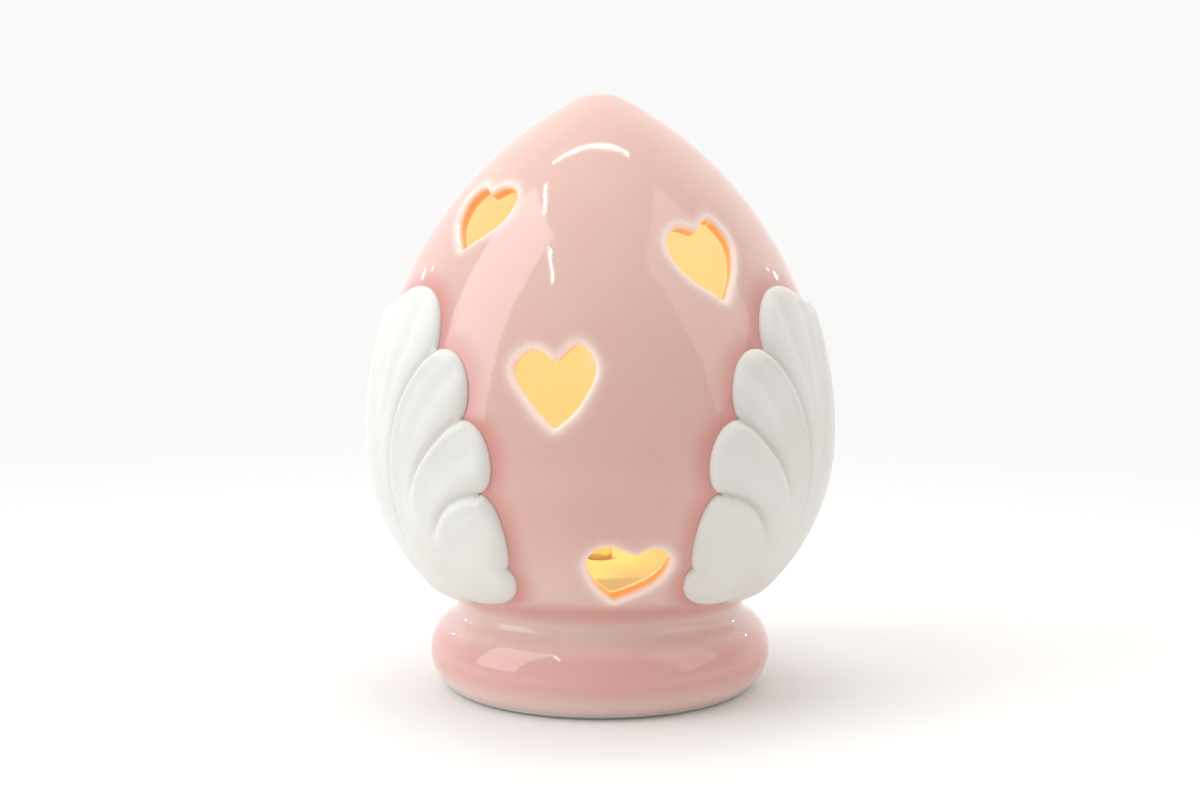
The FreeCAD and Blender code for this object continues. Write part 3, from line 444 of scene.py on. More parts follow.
# Each plastic part: its finish's name, colour, worn colour, roughness and how fine its texture is
PLASTICS = {
    "led_housing": ("housing_white", (0.82, 0.80, 0.75), (0.73, 0.70, 0.63), 0.38),
    "led_base": ("base_white", (0.80, 0.79, 0.75), (0.71, 0.69, 0.63), 0.44),
    "battery_door": ("door_white", (0.81, 0.80, 0.76), (0.70, 0.68, 0.63), 0.46, 1100.0),
    "switch_knob": ("knob_black", (0.022, 0.022, 0.024), (0.06, 0.06, 0.06), 0.4, 1900.0),
    "wire_positive": ("insulation_red", (0.50, 0.018, 0.014), (0.36, 0.03, 0.025), 0.3, 700.0),
    "wire_negative": ("insulation_black", (0.02, 0.02, 0.022), (0.055, 0.055, 0.055), 0.3, 700.0),
}
# Each metal part: its finish's name, colour, dull colour, how its drawing lines stretch and its roughness
METALS = {
    "led_leads": ("lead_tin", (0.78, 0.77, 0.74), (0.52, 0.50, 0.46), (1.0, 1.0, 0.1)),
    "contact_positive": ("spring_nickel", (0.76, 0.73, 0.66), (0.50, 0.42, 0.30), (1, 1, 0.1)),
    "switch_case": ("switch_steel", (0.66, 0.66, 0.67), (0.40, 0.39, 0.38), (0.1, 1, 1), 0.3),
    "switch_terminals": ("terminal_tin", (0.80, 0.79, 0.75), (0.56, 0.53, 0.46), (1, 1, 0.1)),
}
# Parts that take another part's finish
SHARED = {"cell_2": "cell_1", "cell_3": "cell_1", "contact_negative": "contact_positive",
          "wire_switched": "wire_positive"}


# ---- the shell's section ----

class Section:
    """The shell's closed section in millimetres: from the apex down outside, and up again inside."""

    STEP = 0.25
    ROUNDED_BELOW, ROUNDS = 2.2, 5
    BORE_REACH = 27
    NECK_SPOT = (30.0, 21.0)

    def __init__(self):
        sizes = settings().shell
        self.wall, self.height = sizes.wall / MM, sizes.height / MM
        belly, rise, apex = sizes.belly_radius / MM, sizes.belly_rise / MM, sizes.apex_radius / MM
        neck, hollow = sizes.neck_radius / MM, sizes.neck_hollow / MM
        foot_round, foot_rise = sizes.foot_round / MM, sizes.foot_rise / MM
        apex_centre = self.height - apex
        upper = (belly ** 2 + (apex_centre - rise) ** 2 - apex ** 2) / (2 * (belly - apex))
        foot_centre = neck + sizes.foot_bulge / MM - foot_round
        neck_centre = neck + hollow
        neck_rise = foot_rise + math.sqrt((hollow + foot_round) ** 2 - (neck_centre - foot_centre) ** 2)
        lower = (((neck_centre - belly) ** 2 + (rise - neck_rise) ** 2 - hollow ** 2)
                 / (2 * (hollow - neck_centre + belly)))
        top = math.atan2(apex_centre - rise, upper - belly)
        under = math.atan2(neck_rise - rise, neck_centre - belly + lower)
        ankle = math.atan2(neck_rise - foot_rise, neck_centre - foot_centre)
        mouth = neck - self.wall - sizes.mouth_lip / MM
        half = math.pi / 2
        arcs = [((0, apex_centre), apex, half, top), ((belly - upper, rise), upper, top, 0),
                ((belly - lower, rise), lower, 0, under),
                ((neck_centre, neck_rise), -hollow, under + math.pi, ankle + math.pi),
                ((foot_centre, foot_rise), foot_round, ankle, -math.asin(foot_rise / foot_round))]
        outside = [self.arc(*arc) for arc in arcs]
        heel = -math.acos((mouth - foot_centre) / (foot_round - self.wall))
        inner = [(centre, radius - self.wall, end, start) for centre, radius, start, end in reversed(arcs)]
        inner[0] = (inner[0][0], inner[0][1], heel, ankle)
        inside = [self.arc(*arc) for arc in inner]
        ring = self.line(outside[-1][-1], (mouth, 0))
        bore = self.line((mouth, 0), inside[0][0])
        path = np.concatenate([*outside, ring[1:], bore[1:], *inside])
        keep = np.r_[True, np.hypot(*np.diff(path, axis=0).T) > 1e-6]
        path = self.path = self.softened(path[keep])
        self.run = np.r_[0.0, np.cumsum(np.hypot(*np.diff(path, axis=0).T))]
        slope = np.gradient(path, self.run, axis=0)
        self.slope = slope / np.hypot(*slope.T)[:, None]
        self.outer_end = self.run_at((outside[-1][-1][0], 0.6), 0.0)
        self.inner_start = self.run_at((mouth - 0.5, inside[0][0][1] + 1.0), self.outer_end)

    def arc(self, centre, radius, start, end):
        count = max(3, math.ceil(abs(radius * (end - start)) / self.STEP))
        turns = np.linspace(start, end, count)
        radius = abs(radius)
        return np.stack([centre[0] + radius * np.cos(turns), centre[1] + radius * np.sin(turns)], 1)

    def line(self, start, end):
        count = max(3, math.ceil(math.dist(start, end) / self.STEP))
        return np.linspace(start, end, count)

    def softened(self, path):
        """The path with its corners near the ground rounded a little."""
        reach = self.ROUNDED_BELOW
        low = (path[:, 1] < reach) | ((path[:, 1] < 2 * reach) & (path[:, 0] < self.BORE_REACH))
        for _ in range(self.ROUNDS):
            middle = (path[:-2] + path[2:]) / 2
            path[1:-1] = np.where(low[1:-1, None], middle * 0.5 + path[1:-1] * 0.5, path[1:-1])
        return path

    def run_at(self, point, start):
        """Run of the section's point nearest to a place, searched from a run onwards."""
        later = np.nonzero(self.run >= start)[0]
        gaps = np.hypot(*(self.path[later] - np.array(point)).T)
        return self.run[later[np.argmin(gaps)]]

    def at(self, run, columns):
        """The path's places or slopes at a run."""
        return np.stack([np.interp(run, self.run, columns[:, axis]) for axis in (0, 1)], -1)

    def where(self, turns, runs, lifts):
        """Places in space of points given by turn, run and lift, in millimetres."""
        spot, slope = self.at(runs, self.path), self.at(runs, self.slope)
        radius = spot[..., 0] - slope[..., 1] * lifts
        height = spot[..., 1] + slope[..., 0] * lifts
        return np.stack([radius * np.sin(turns), -radius * np.cos(turns), height], -1)

    def locate(self, places, start):
        """Turn, run and lift of places in space, found from a run near them."""
        turns = np.arctan2(places[..., 0], -places[..., 1])
        flat = np.stack([np.hypot(places[..., 0], places[..., 1]), places[..., 2]], -1)
        runs = np.full(turns.shape, float(start))
        for _ in range(6):
            ahead = flat - self.at(runs, self.path)
            runs = runs + np.sum(ahead * self.at(runs, self.slope), -1)
        slope = self.at(runs, self.slope)
        ahead = flat - self.at(runs, self.path)
        return turns, runs, ahead[..., 1] * slope[..., 0] - ahead[..., 0] * slope[..., 1]

    def outer_run(self, heights):
        """Run on the outside of the egg at a height."""
        egg = self.run <= self.run_at(self.NECK_SPOT, 0.0)
        return np.interp(-np.asarray(heights, float), -self.path[egg][:, 1], self.run[egg])

    def curve(self):
        """The section as a curve object in metres, for the tree that wraps sheets on it."""
        data = bpy.data.curves.new("shell_section", "CURVE")
        data.dimensions = "3D"
        spline = data.splines.new("POLY")
        spline.points.add(len(self.path) - 1)
        flat = np.zeros((len(self.path), 4))
        flat[:, 0], flat[:, 2], flat[:, 3] = self.path[:, 0] * MM, self.path[:, 1] * MM, 1.0
        spline.points.foreach_set("co", flat.ravel())
        return add_object("shell_section", data)


def smooth_line(points, count):
    """Evenly shared points on a smooth line through a few chosen ones."""
    points = np.asarray(points, float)
    knots = np.vstack([2 * points[0] - points[1], points, 2 * points[-1] - points[-2]])
    pieces = []
    for index in range(len(knots) - 3):
        a, b, c, d = knots[index:index + 4]
        share = np.linspace(0, 1, 24, endpoint=False)[:, None]
        pieces.append(0.5 * (2 * b + (c - a) * share + (2 * a - 5 * b + 4 * c - d) * share ** 2
                             + (3 * b - a - 3 * c + d) * share ** 3))
    line = np.vstack([*pieces, knots[-2]])
    length_so_far = np.r_[0.0, np.cumsum(np.hypot(*np.diff(line, axis=0).T))]
    wanted = np.linspace(0, length_so_far[-1], count)
    return np.stack([np.interp(wanted, length_so_far, line[:, axis]) for axis in (0, 1)], 1)


def bezier(start, first, second, end, count):
    """Points on a cubic from start up to but not at its end."""
    share = np.linspace(0, 1, count, endpoint=False)[:, None]
    ends = np.asarray([start, first, second, end], float)
    return (ends[0] * (1 - share) ** 3 + 3 * ends[1] * share * (1 - share) ** 2
            + 3 * ends[2] * share ** 2 * (1 - share) + ends[3] * share ** 3)


def inside_outline(points, outline):
    """Which points lie inside a closed outline."""
    x, y = points[:, 0:1], points[:, 1:2]
    ahead = np.roll(outline, -1, axis=0)
    crosses = (outline[:, 1] > y) != (ahead[:, 1] > y)
    rise = np.where(ahead[:, 1] == outline[:, 1], 1e-9, ahead[:, 1] - outline[:, 1])
    reach = (ahead[:, 0] - outline[:, 0]) * (y - outline[:, 1]) / rise + outline[:, 0]
    return (np.sum(crosses & (x < reach), axis=1) % 2) == 1


def gap_to_outline(points, outline):
    """Distance of each point to a closed outline."""
    ahead = np.roll(outline, -1, axis=0) - outline
    away = points[:, None, :] - outline[None, :, :]
    share = np.clip(np.sum(away * ahead, -1) / np.maximum(np.sum(ahead * ahead, -1), 1e-12), 0, 1)
    return np.min(np.hypot(*np.moveaxis(away - share[..., None] * ahead, -1, 0)), axis=1)


def triangles(points, loops, wanted):
    """Triangles over points, keeping each loop's edges, where wanted says yes to a triangle's middle."""
    edges = [(loop[index - 1], loop[index]) for loop in loops for index in range(len(loop))]
    flat = [Vector(point) for point in points.tolist()]
    _, _, faces, origin, _, _ = delaunay_2d_cdt(flat, edges, [], 0, 1e-7, True)
    faces = np.array([[origin[corner][0] for corner in face] for face in faces])
    return faces[wanted(points[faces].mean(axis=1))]


# ---- the sheet that is wrapped on the section ----

class Sheet:
    """Points given by turn, run and lift, with faces and extra values, before they are wrapped."""

    def __init__(self):
        self.columns = {"turn": [], "run": [], "lift": []}
        self.faces = []
        self.count = 0

    def add(self, turns, runs, lifts, **values):
        turns = np.atleast_1d(np.asarray(turns, float))
        first, size = self.count, len(turns)
        given = {"turn": turns, "run": runs, "lift": lifts, **values}
        for name in set(self.columns) | set(given):
            column = self.columns.setdefault(name, [np.zeros(first)] if first else [])
            column.append(np.broadcast_to(np.asarray(given.get(name, 0.0), float), (size,)))
        self.count += size
        return np.arange(first, first + size)

    def column(self, name):
        return np.concatenate(self.columns[name])

    def mesh(self, name):
        """Flat mesh that carries every column as an attribute, in metres where it is a length."""
        data = bpy.data.meshes.new(name)
        turns, runs = self.column("turn"), self.column("run") * MM
        spots = np.stack([turns, runs, np.zeros(self.count)], 1)
        data.from_pydata(spots.tolist(), [], [list(map(int, face)) for face in self.faces])
        for key in self.columns:
            scale = 1.0 if key in ("turn", "inside", "crease") else MM
            layer = data.attributes.new(key, "FLOAT", "POINT")
            layer.data.foreach_set("value", (self.column(key) * scale).astype(np.float32))
        return data


class Tree:
    """A Geometry Nodes tree under construction, with named inputs and one mesh result."""

    def __init__(self, name):
        self.tree = bpy.data.node_groups.new(name, "GeometryNodeTree")
        self.sockets = {}
        self.tree.interface.new_socket("Geometry", in_out="INPUT", socket_type="NodeSocketGeometry")
        self.tree.interface.new_socket("Geometry", in_out="OUTPUT", socket_type="NodeSocketGeometry")
        self.start = self.tree.nodes.new("NodeGroupInput")
        self.finish = self.tree.nodes.new("NodeGroupOutput")

    def input(self, name, kind):
        item = self.tree.interface.new_socket(name, in_out="INPUT", socket_type=f"NodeSocket{kind}")
        self.sockets[name] = item.identifier
        return self.start.outputs[name]

    def node(self, kind, options=None, inputs=None):
        made = self.tree.nodes.new(kind)
        for option, choice in (options or {}).items():
            setattr(made, option, choice)
        for socket, amount in (inputs or {}).items():
            if isinstance(amount, bpy.types.NodeSocket):
                self.tree.links.new(amount, made.inputs[socket])
            else:
                made.inputs[socket].default_value = amount
        return made.outputs

    def math(self, operation, first, second=0.0):
        return self.node("ShaderNodeMath", {"operation": operation}, {0: first, 1: second})[0]

    def value(self, name):
        return self.node("GeometryNodeInputNamedAttribute", {"data_type": "FLOAT"}, {"Name": name})[0]

    def close(self, geometry):
        """End the tree in real, smooth geometry with its material."""
        smooth = self.node("GeometryNodeSetShadeSmooth", {}, {"Geometry": geometry})[0]
        real = self.node("GeometryNodeRealizeInstances", {}, {"Geometry": smooth})[0]
        painted = self.node("GeometryNodeSetMaterial", {}, {"Geometry": real, "Material": self.material})[0]
        self.tree.links.new(painted, self.finish.inputs[0])

    def run(self, name, data, material, **inputs):
        """Object whose mesh is what the tree makes of a mesh."""
        source = add_object(f"{name}_source", data)
        modifier = source.modifiers.new("tree", "NODES")
        modifier.node_group = self.tree
        for key, amount in {"Material": material, **inputs}.items():
            modifier[self.sockets[key]] = amount
        result = baked(source, name)
        bpy.data.objects.remove(source)
        return result

    @property
    def material(self):
        if "Material" not in self.sockets:
            self.input("Material", "Material")
        return self.start.outputs["Material"]


def baked(source, name):
    """New object that holds a source's evaluated mesh."""
    bpy.context.view_layer.update()
    graph = bpy.context.evaluated_depsgraph_get()
    data = bpy.data.meshes.new_from_object(source.evaluated_get(graph), depsgraph=graph)
    data.name = name
    return add_object(name, data)


def wrap_tree():
    """Tree that turns a flat sheet's points round Z on a section curve and lifts them off it."""
    tree = Tree("wrap_on_section")
    section = tree.input("Section", "Object")
    turned, run, lift = (tree.value(name) for name in ("turn", "run", "lift"))
    curve = tree.node("GeometryNodeObjectInfo", {}, {"Object": section})["Geometry"]
    sample = tree.node("GeometryNodeSampleCurve", {"mode": "LENGTH"}, {"Curves": curve, "Length": run})
    spot = tree.node("ShaderNodeSeparateXYZ", {}, {0: sample["Position"]})
    slope = tree.node("ShaderNodeSeparateXYZ", {}, {0: sample["Tangent"]})
    radius = tree.math("SUBTRACT", spot["X"], tree.math("MULTIPLY", slope["Z"], lift))
    height = tree.math("ADD", spot["Z"], tree.math("MULTIPLY", slope["X"], lift))
    across = tree.math("MULTIPLY", radius, tree.math("SINE", turned))
    along = tree.math("MULTIPLY", radius, tree.math("MULTIPLY", tree.math("COSINE", turned), -1.0))
    place = tree.node("ShaderNodeCombineXYZ", {}, {"X": across, "Y": along, "Z": height})[0]
    moved = tree.node("GeometryNodeSetPosition", {},
                      {"Geometry": tree.start.outputs[0], "Position": place})[0]
    tree.close(moved)
    return tree


# ---- hearts ----

# Each heart: its middle's turn and height, then its left and right sides from the notch to the tip
HEARTS = (
    (-45.6, 95.3, [(-1.0, 5.6), (-4.6, 7.7), (-7.2, 4.4), (-5.9, -0.9), (-0.8, -7.4)],
     [(-1.0, 5.6), (2.6, 7.7), (6.6, 5.4), (6.0, -1.2), (-0.8, -7.4)]),
    (32.3, 87.6, [(-0.1, 5.8), (-4.0, 7.1), (-7.3, 3.4), (-5.0, -3.0), (2.0, -8.6)],
     [(-0.1, 5.8), (4.0, 9.0), (7.3, 4.4), (6.2, -1.4), (2.0, -8.6)]),
    (-10.8, 64.9, [(0.3, 4.5), (-4.4, 6.8), (-7.9, 3.2), (-4.6, -2.6), (0.3, -7.8)],
     [(0.3, 4.5), (4.4, 7.9), (7.7, 3.4), (4.6, -3.6), (0.3, -7.8)]),
    (7.9, 29.5, [(1.0, 4.2), (-4.6, 6.3), (-8.1, 2.8), (-6.3, -3.0), (-2.4, -8.0)],
     [(1.0, 4.2), (4.8, 5.6), (7.6, 2.6), (5.2, -2.9), (-2.4, -8.0)]),
)
HEART_POINTS, HEART_ROUNDS = 116, 3
# Millimetres: reach of the patch round a heart, room kept beside its lip and width of the last ring
PATCH_REACH, LIP_ROOM, LAST_RING = 11.5, 0.25, 0.12
LIP_ANGLES = (72, 54, 36, 18, 0)
# Share of the way through the wall for each ring of a cut-out
WALL_SHARES = (0.2, 0.4, 0.6, 0.8)
# How far "inside" has risen at the outer cut, over the cut wall and at the inner cut, from 0 to 1
CUT_OUTSIDE, CUT_RISE, CUT_INSIDE = 0.1, 0.5, 0.9


class Heart:
    """One cut-out: its outline in the plane that touches the egg at its middle, and that plane's axes."""

    def __init__(self, section, turned, rise, left, right):
        self.section = section
        self.turn = math.radians(turned)
        self.run = float(section.outer_run(rise))
        self.middle = section.where(np.array(self.turn), np.array(self.run), 0.0)
        above = section.where(np.array(self.turn), np.array(self.run), 1.0)
        self.normal = above - self.middle
        self.across = np.array([math.cos(self.turn), math.sin(self.turn), 0.0])
        self.up = np.cross(self.normal, self.across)
        half = HEART_POINTS // 2
        sides = [smooth_line(side, half + 1)[:-1] for side in (left, list(reversed(right)))]
        outline = np.vstack(sides)
        for _ in range(HEART_ROUNDS):
            outline = (np.roll(outline, 1, 0) + 2 * outline + np.roll(outline, -1, 0)) / 4
        self.outline = outline

    def offset(self, distance):
        """Points a distance outside the outline, without those that a hollow brings too near."""
        ahead = np.roll(self.outline, -1, 0) - np.roll(self.outline, 1, 0)
        normal = np.stack([ahead[:, 1], -ahead[:, 0]], 1) / np.hypot(*ahead.T)[:, None]
        outwards = normal if self.signed_area() > 0 else -normal
        moved = self.outline + outwards * distance
        return moved[gap_to_outline(moved, self.outline) > distance - 0.03]

    def signed_area(self):
        x, y = self.outline.T
        return 0.5 * np.sum(x * np.roll(y, -1) - y * np.roll(x, -1))

    def space(self, points, depth=0.0):
        """Places in space of points in the heart's plane."""
        return (self.middle + points[:, :1] * self.across + points[:, 1:] * self.up - self.normal * depth)


def lip_drop(gap, radius):
    """How far a rounded edge has fallen at a distance from the cut."""
    inward = np.clip(radius - gap, 0.0, radius)
    return radius - np.sqrt(radius ** 2 - inward ** 2)


def pierce(sheet, section, heart, rows, turns, index, outer):
    """Mesh round one heart on one side of the wall; gives the outline's points and the cells it takes."""
    sizes = settings().shell
    depth, lip = (0.0, sizes.lip_round / MM) if outer else (section.wall, sizes.inner_round / MM)
    behind = heart.middle - heart.normal * depth
    start = heart.run if outer else section.run_at((np.hypot(*behind[:2]), behind[2]), section.inner_start)
    centre_turn, centre_run, _ = section.locate(heart.space(np.zeros((1, 2)), depth), start)
    radius = float(section.at(centre_run, section.path)[0, 0])
    row_hits = np.nonzero(np.abs(rows - centre_run[0]) < PATCH_REACH)[0]
    turn_hits = np.nonzero(np.abs(turns - centre_turn[0]) * radius < PATCH_REACH)[0]
    top, bottom, left, right = row_hits[0], row_hits[-1], turn_hits[0], turn_hits[-1]

    def plane(turned, run):
        return np.stack([(turned - centre_turn[0]) * radius, centre_run[0] - run], -1)

    edge = [(top, j) for j in range(left, right)] + [(i, right) for i in range(top, bottom)]
    edge += [(bottom, j) for j in range(right, left, -1)] + [(i, left) for i in range(bottom, top, -1)]
    cut_turns, cut_runs, _ = section.locate(heart.space(heart.outline, depth), start)
    cut = plane(cut_turns, cut_runs)
    inner_nodes = [(i, j) for i in range(top + 1, bottom) for j in range(left + 1, right)]
    node_turns = np.array([turns[j] for _, j in inner_nodes])
    node_runs = np.array([rows[i] for i, _ in inner_nodes])
    nodes = plane(node_turns, node_runs)
    keep = (gap_to_outline(nodes, cut) > lip + LIP_ROOM) & ~inside_outline(nodes, cut)
    ids = [index[i, j] for i, j in edge]
    flat = [plane(turns[[j for _, j in edge]], rows[[i for i, _ in edge]])]
    ids += [index[i, j] for (i, j), kept in zip(inner_nodes, keep) if kept]
    flat.append(nodes[keep])
    cut_ids = sheet.add(cut_turns, cut_runs, -lip, inside=CUT_OUTSIDE if outer else CUT_INSIDE)
    cut_start = len(ids)
    ids += list(cut_ids)
    flat.append(cut)
    rings = [lip * (1 - math.sin(math.radians(angle))) for angle in LIP_ANGLES] + [lip + LAST_RING]
    for distance in rings:
        turned, run, _ = section.locate(heart.space(heart.offset(distance), depth), start)
        ring = plane(turned, run)
        fit = ~inside_outline(ring, cut)
        drop = lip_drop(gap_to_outline(ring[fit], cut), lip)
        ids += list(sheet.add(turned[fit], run[fit], -drop, inside=0.0 if outer else 1.0))
        flat.append(ring[fit])
    flat = np.vstack(flat)
    loops = [range(len(edge)), range(cut_start, cut_start + len(cut))]
    found = triangles(flat, loops, lambda middles: ~inside_outline(middles, cut))
    sheet.faces += [[ids[corner] for corner in face] for face in found]
    taken = {(i, j) for i in range(top, bottom) for j in range(left, right)}
    return cut_ids, taken


# Spacing of the mesh's rows round the foot's edge in millimetres, and inside in outer steps
FOOT_EDGE_STEP, INNER_STEPS = 0.35, 2.6


def shell_rows(section):
    """Runs of the mesh's rows: fine outside and round the foot's edge, coarser inside."""
    step = settings().shell.mesh_step / MM
    ends = [0.0, section.outer_end, section.inner_start, section.run[-1]]
    steps = (step, FOOT_EDGE_STEP, INNER_STEPS * step)
    spans = [np.linspace(a, b, math.ceil((b - a) / s) + 1)[:-1] for a, b, s in zip(ends, ends[1:], steps)]
    return np.r_[np.concatenate(spans), section.run[-1]]


def shell_sheet(section, hearts):
    """The shell's skin, with the hearts cut through both of its sides and walled."""
    sheet = Sheet()
    rows = shell_rows(section)
    columns = settings().shell.columns
    turns = np.linspace(-math.pi, math.pi, columns, endpoint=False)
    middle_rows = rows[1:-1]
    indoors = (middle_rows > section.inner_start).astype(float)
    poles = sheet.add([0.0, 0.0], [rows[0], rows[-1]], 0.0, inside=[0.0, 1.0])
    grid = sheet.add(np.tile(turns, len(middle_rows)), np.repeat(middle_rows, columns), 0.0,
                     inside=np.repeat(indoors, columns)).reshape(len(middle_rows), columns)
    taken = set()
    for heart in hearts:
        cut_rings = []
        for outer in (True, False):
            ring, cells_taken = pierce(sheet, section, heart, middle_rows, turns, grid, outer)
            cut_rings.append(ring)
            taken |= cells_taken
        wall_heart(sheet, section, heart, *cut_rings)
    for i in range(len(middle_rows) - 1):
        for j in range(columns):
            if (i, j) not in taken:
                k = (j + 1) % columns
                sheet.faces.append([grid[i, j], grid[i + 1, j], grid[i + 1, k], grid[i, k]])
    for j in range(columns):
        k = (j + 1) % columns
        sheet.faces.append([poles[0], grid[0, j], grid[0, k]])
        sheet.faces.append([poles[1], grid[-1, k], grid[-1, j]])
    return sheet


def wall_heart(sheet, section, heart, outer_ring, inner_ring):
    """Straight walls of one cut-out between its two rings."""
    turns, runs, lifts = (sheet.column(name) for name in ("turn", "run", "lift"))
    near = section.where(turns[outer_ring], runs[outer_ring], lifts[outer_ring])
    far = section.where(turns[inner_ring], runs[inner_ring], lifts[inner_ring])
    rings = [outer_ring]
    for share in WALL_SHARES:
        turned, run, lift = section.locate(near + share * (far - near), heart.run)
        rings.append(sheet.add(turned, run, lift, inside=CUT_OUTSIDE + CUT_RISE * share))
    rings.append(inner_ring)
    forward = heart.signed_area() > 0
    for before, after in zip(rings, rings[1:]):
        for here in range(len(before)):
            there = (here + 1) % len(before)
            face = [before[here], before[there], after[there], after[here]]
            sheet.faces.append(face if forward else face[::-1])


def gaps_to(points, targets, limit=20.0):
    """Distance of each point to the nearest target, up to a limit."""
    tree = KDTree(len(targets))
    for number, target in enumerate(targets.tolist()):
        tree.insert(target, number)
    tree.balance()
    return np.array([min(limit, tree.find(point)[2]) for point in points.tolist()])


# ---- leaves ----

# A leaf's front half as degrees forward of the side and height: lobes run from notch to notch as cubics
LOBES = (
    ((44.0, 22.0), (66.6, 20.6), (67.4, 28.2), (64.4, 30.4)),
    ((64.4, 30.4), (67.6, 33.0), (66.2, 44.6), (60.8, 44.8)),
    ((60.8, 44.8), (67.0, 46.2), (64.6, 58.2), (56.3, 58.3)),
    ((56.3, 58.3), (59.9, 62.6), (56.0, 73.2), (46.1, 70.4)),
    ((46.1, 70.4), (47.0, 81.4), (32.0, 87.0), (13.0, 76.4)),
    ((13.0, 76.4), (9.0, 78.6), (4.5, 78.4), (0.0, 78.4)),
)
# Creases: where a lower lobe's rolled edge lies over the lobe above it, from the notch to where it fades
CREASES = (
    [(60.8, 44.8), (56.0, 44.0), (50.4, 41.6), (46.2, 38.0), (42.6, 33.6)],
    [(56.3, 58.3), (53.0, 56.6), (48.2, 53.2), (43.4, 49.2), (39.6, 44.4), (37.4, 39.6)],
    [(46.1, 70.4), (41.2, 66.6), (36.8, 61.8), (33.6, 55.6), (31.6, 48.0), (30.6, 39.0), (28.6, 29.0)],
    [(13.0, 76.4), (15.4, 69.0), (18.6, 60.0), (21.6, 50.0), (23.6, 40.0), (23.4, 29.0)],
)
# Channels: soft hollows along the middles of the lobes
CHANNELS = (
    [(62.0, 38.4), (54.5, 35.4), (47.0, 30.6), (41.0, 26.0)],
    [(59.0, 52.0), (52.0, 48.4), (45.8, 43.0), (40.0, 35.5)],
    [(53.5, 66.6), (46.6, 60.6), (41.0, 53.0), (37.0, 44.5), (34.0, 34.5)],
    [(38.0, 79.4), (35.6, 72.0), (31.0, 63.0), (27.6, 53.0), (26.4, 42.0)],
    [(25.5, 79.5), (25.0, 71.0), (25.2, 62.0), (25.4, 53.0)],
    [(9.0, 79.5), (9.4, 68.0), (11.4, 56.0), (13.6, 44.0), (14.6, 33.0)],
    [(0.0, 80.0), (0.0, 66.0), (0.0, 50.0), (0.0, 34.0)],
)
# Where each leaf's straight base lies, and how many points its base, lobes and lines are given
BASE_REACH, BASE_HEIGHT = 44.0, 20.9
BASE_POINTS, LOBE_POINTS, LINE_POINTS = 60, 34, 70
# Distances inside a leaf's outline, in millimetres, of the rings that carry its rounded edge
EDGE_RINGS = (0.05, 0.15, 0.32, 0.6, 1.0)
BACK_STEP = 3.0
# Share of a line over which it fades out, for creases and for channels
CREASE_FADE, CHANNEL_FADE = 0.42, 0.5
# Half widths in millimetres: crease, shade beside it, rolled edge and its distance, channel
CREASE_WIDTH, SHADE_WIDTH, ROLL_WIDTH, ROLL_AWAY, CHANNEL_WIDTH = 0.62, 2.3, 1.05, 1.55, 1.9
LEAST_RELIEF = 0.35


def inset(outline, distance):
    """Points a distance inside an outline that runs anticlockwise, without crowded ones."""
    ahead = np.roll(outline, -1, 0) - np.roll(outline, 1, 0)
    inward = np.stack([-ahead[:, 1], ahead[:, 0]], 1) / np.hypot(*ahead.T)[:, None]
    moved = outline + inward * distance
    clear = gap_to_outline_in_parts(moved, outline) > distance * 0.93
    return moved[clear & inside_outline(moved, outline)]


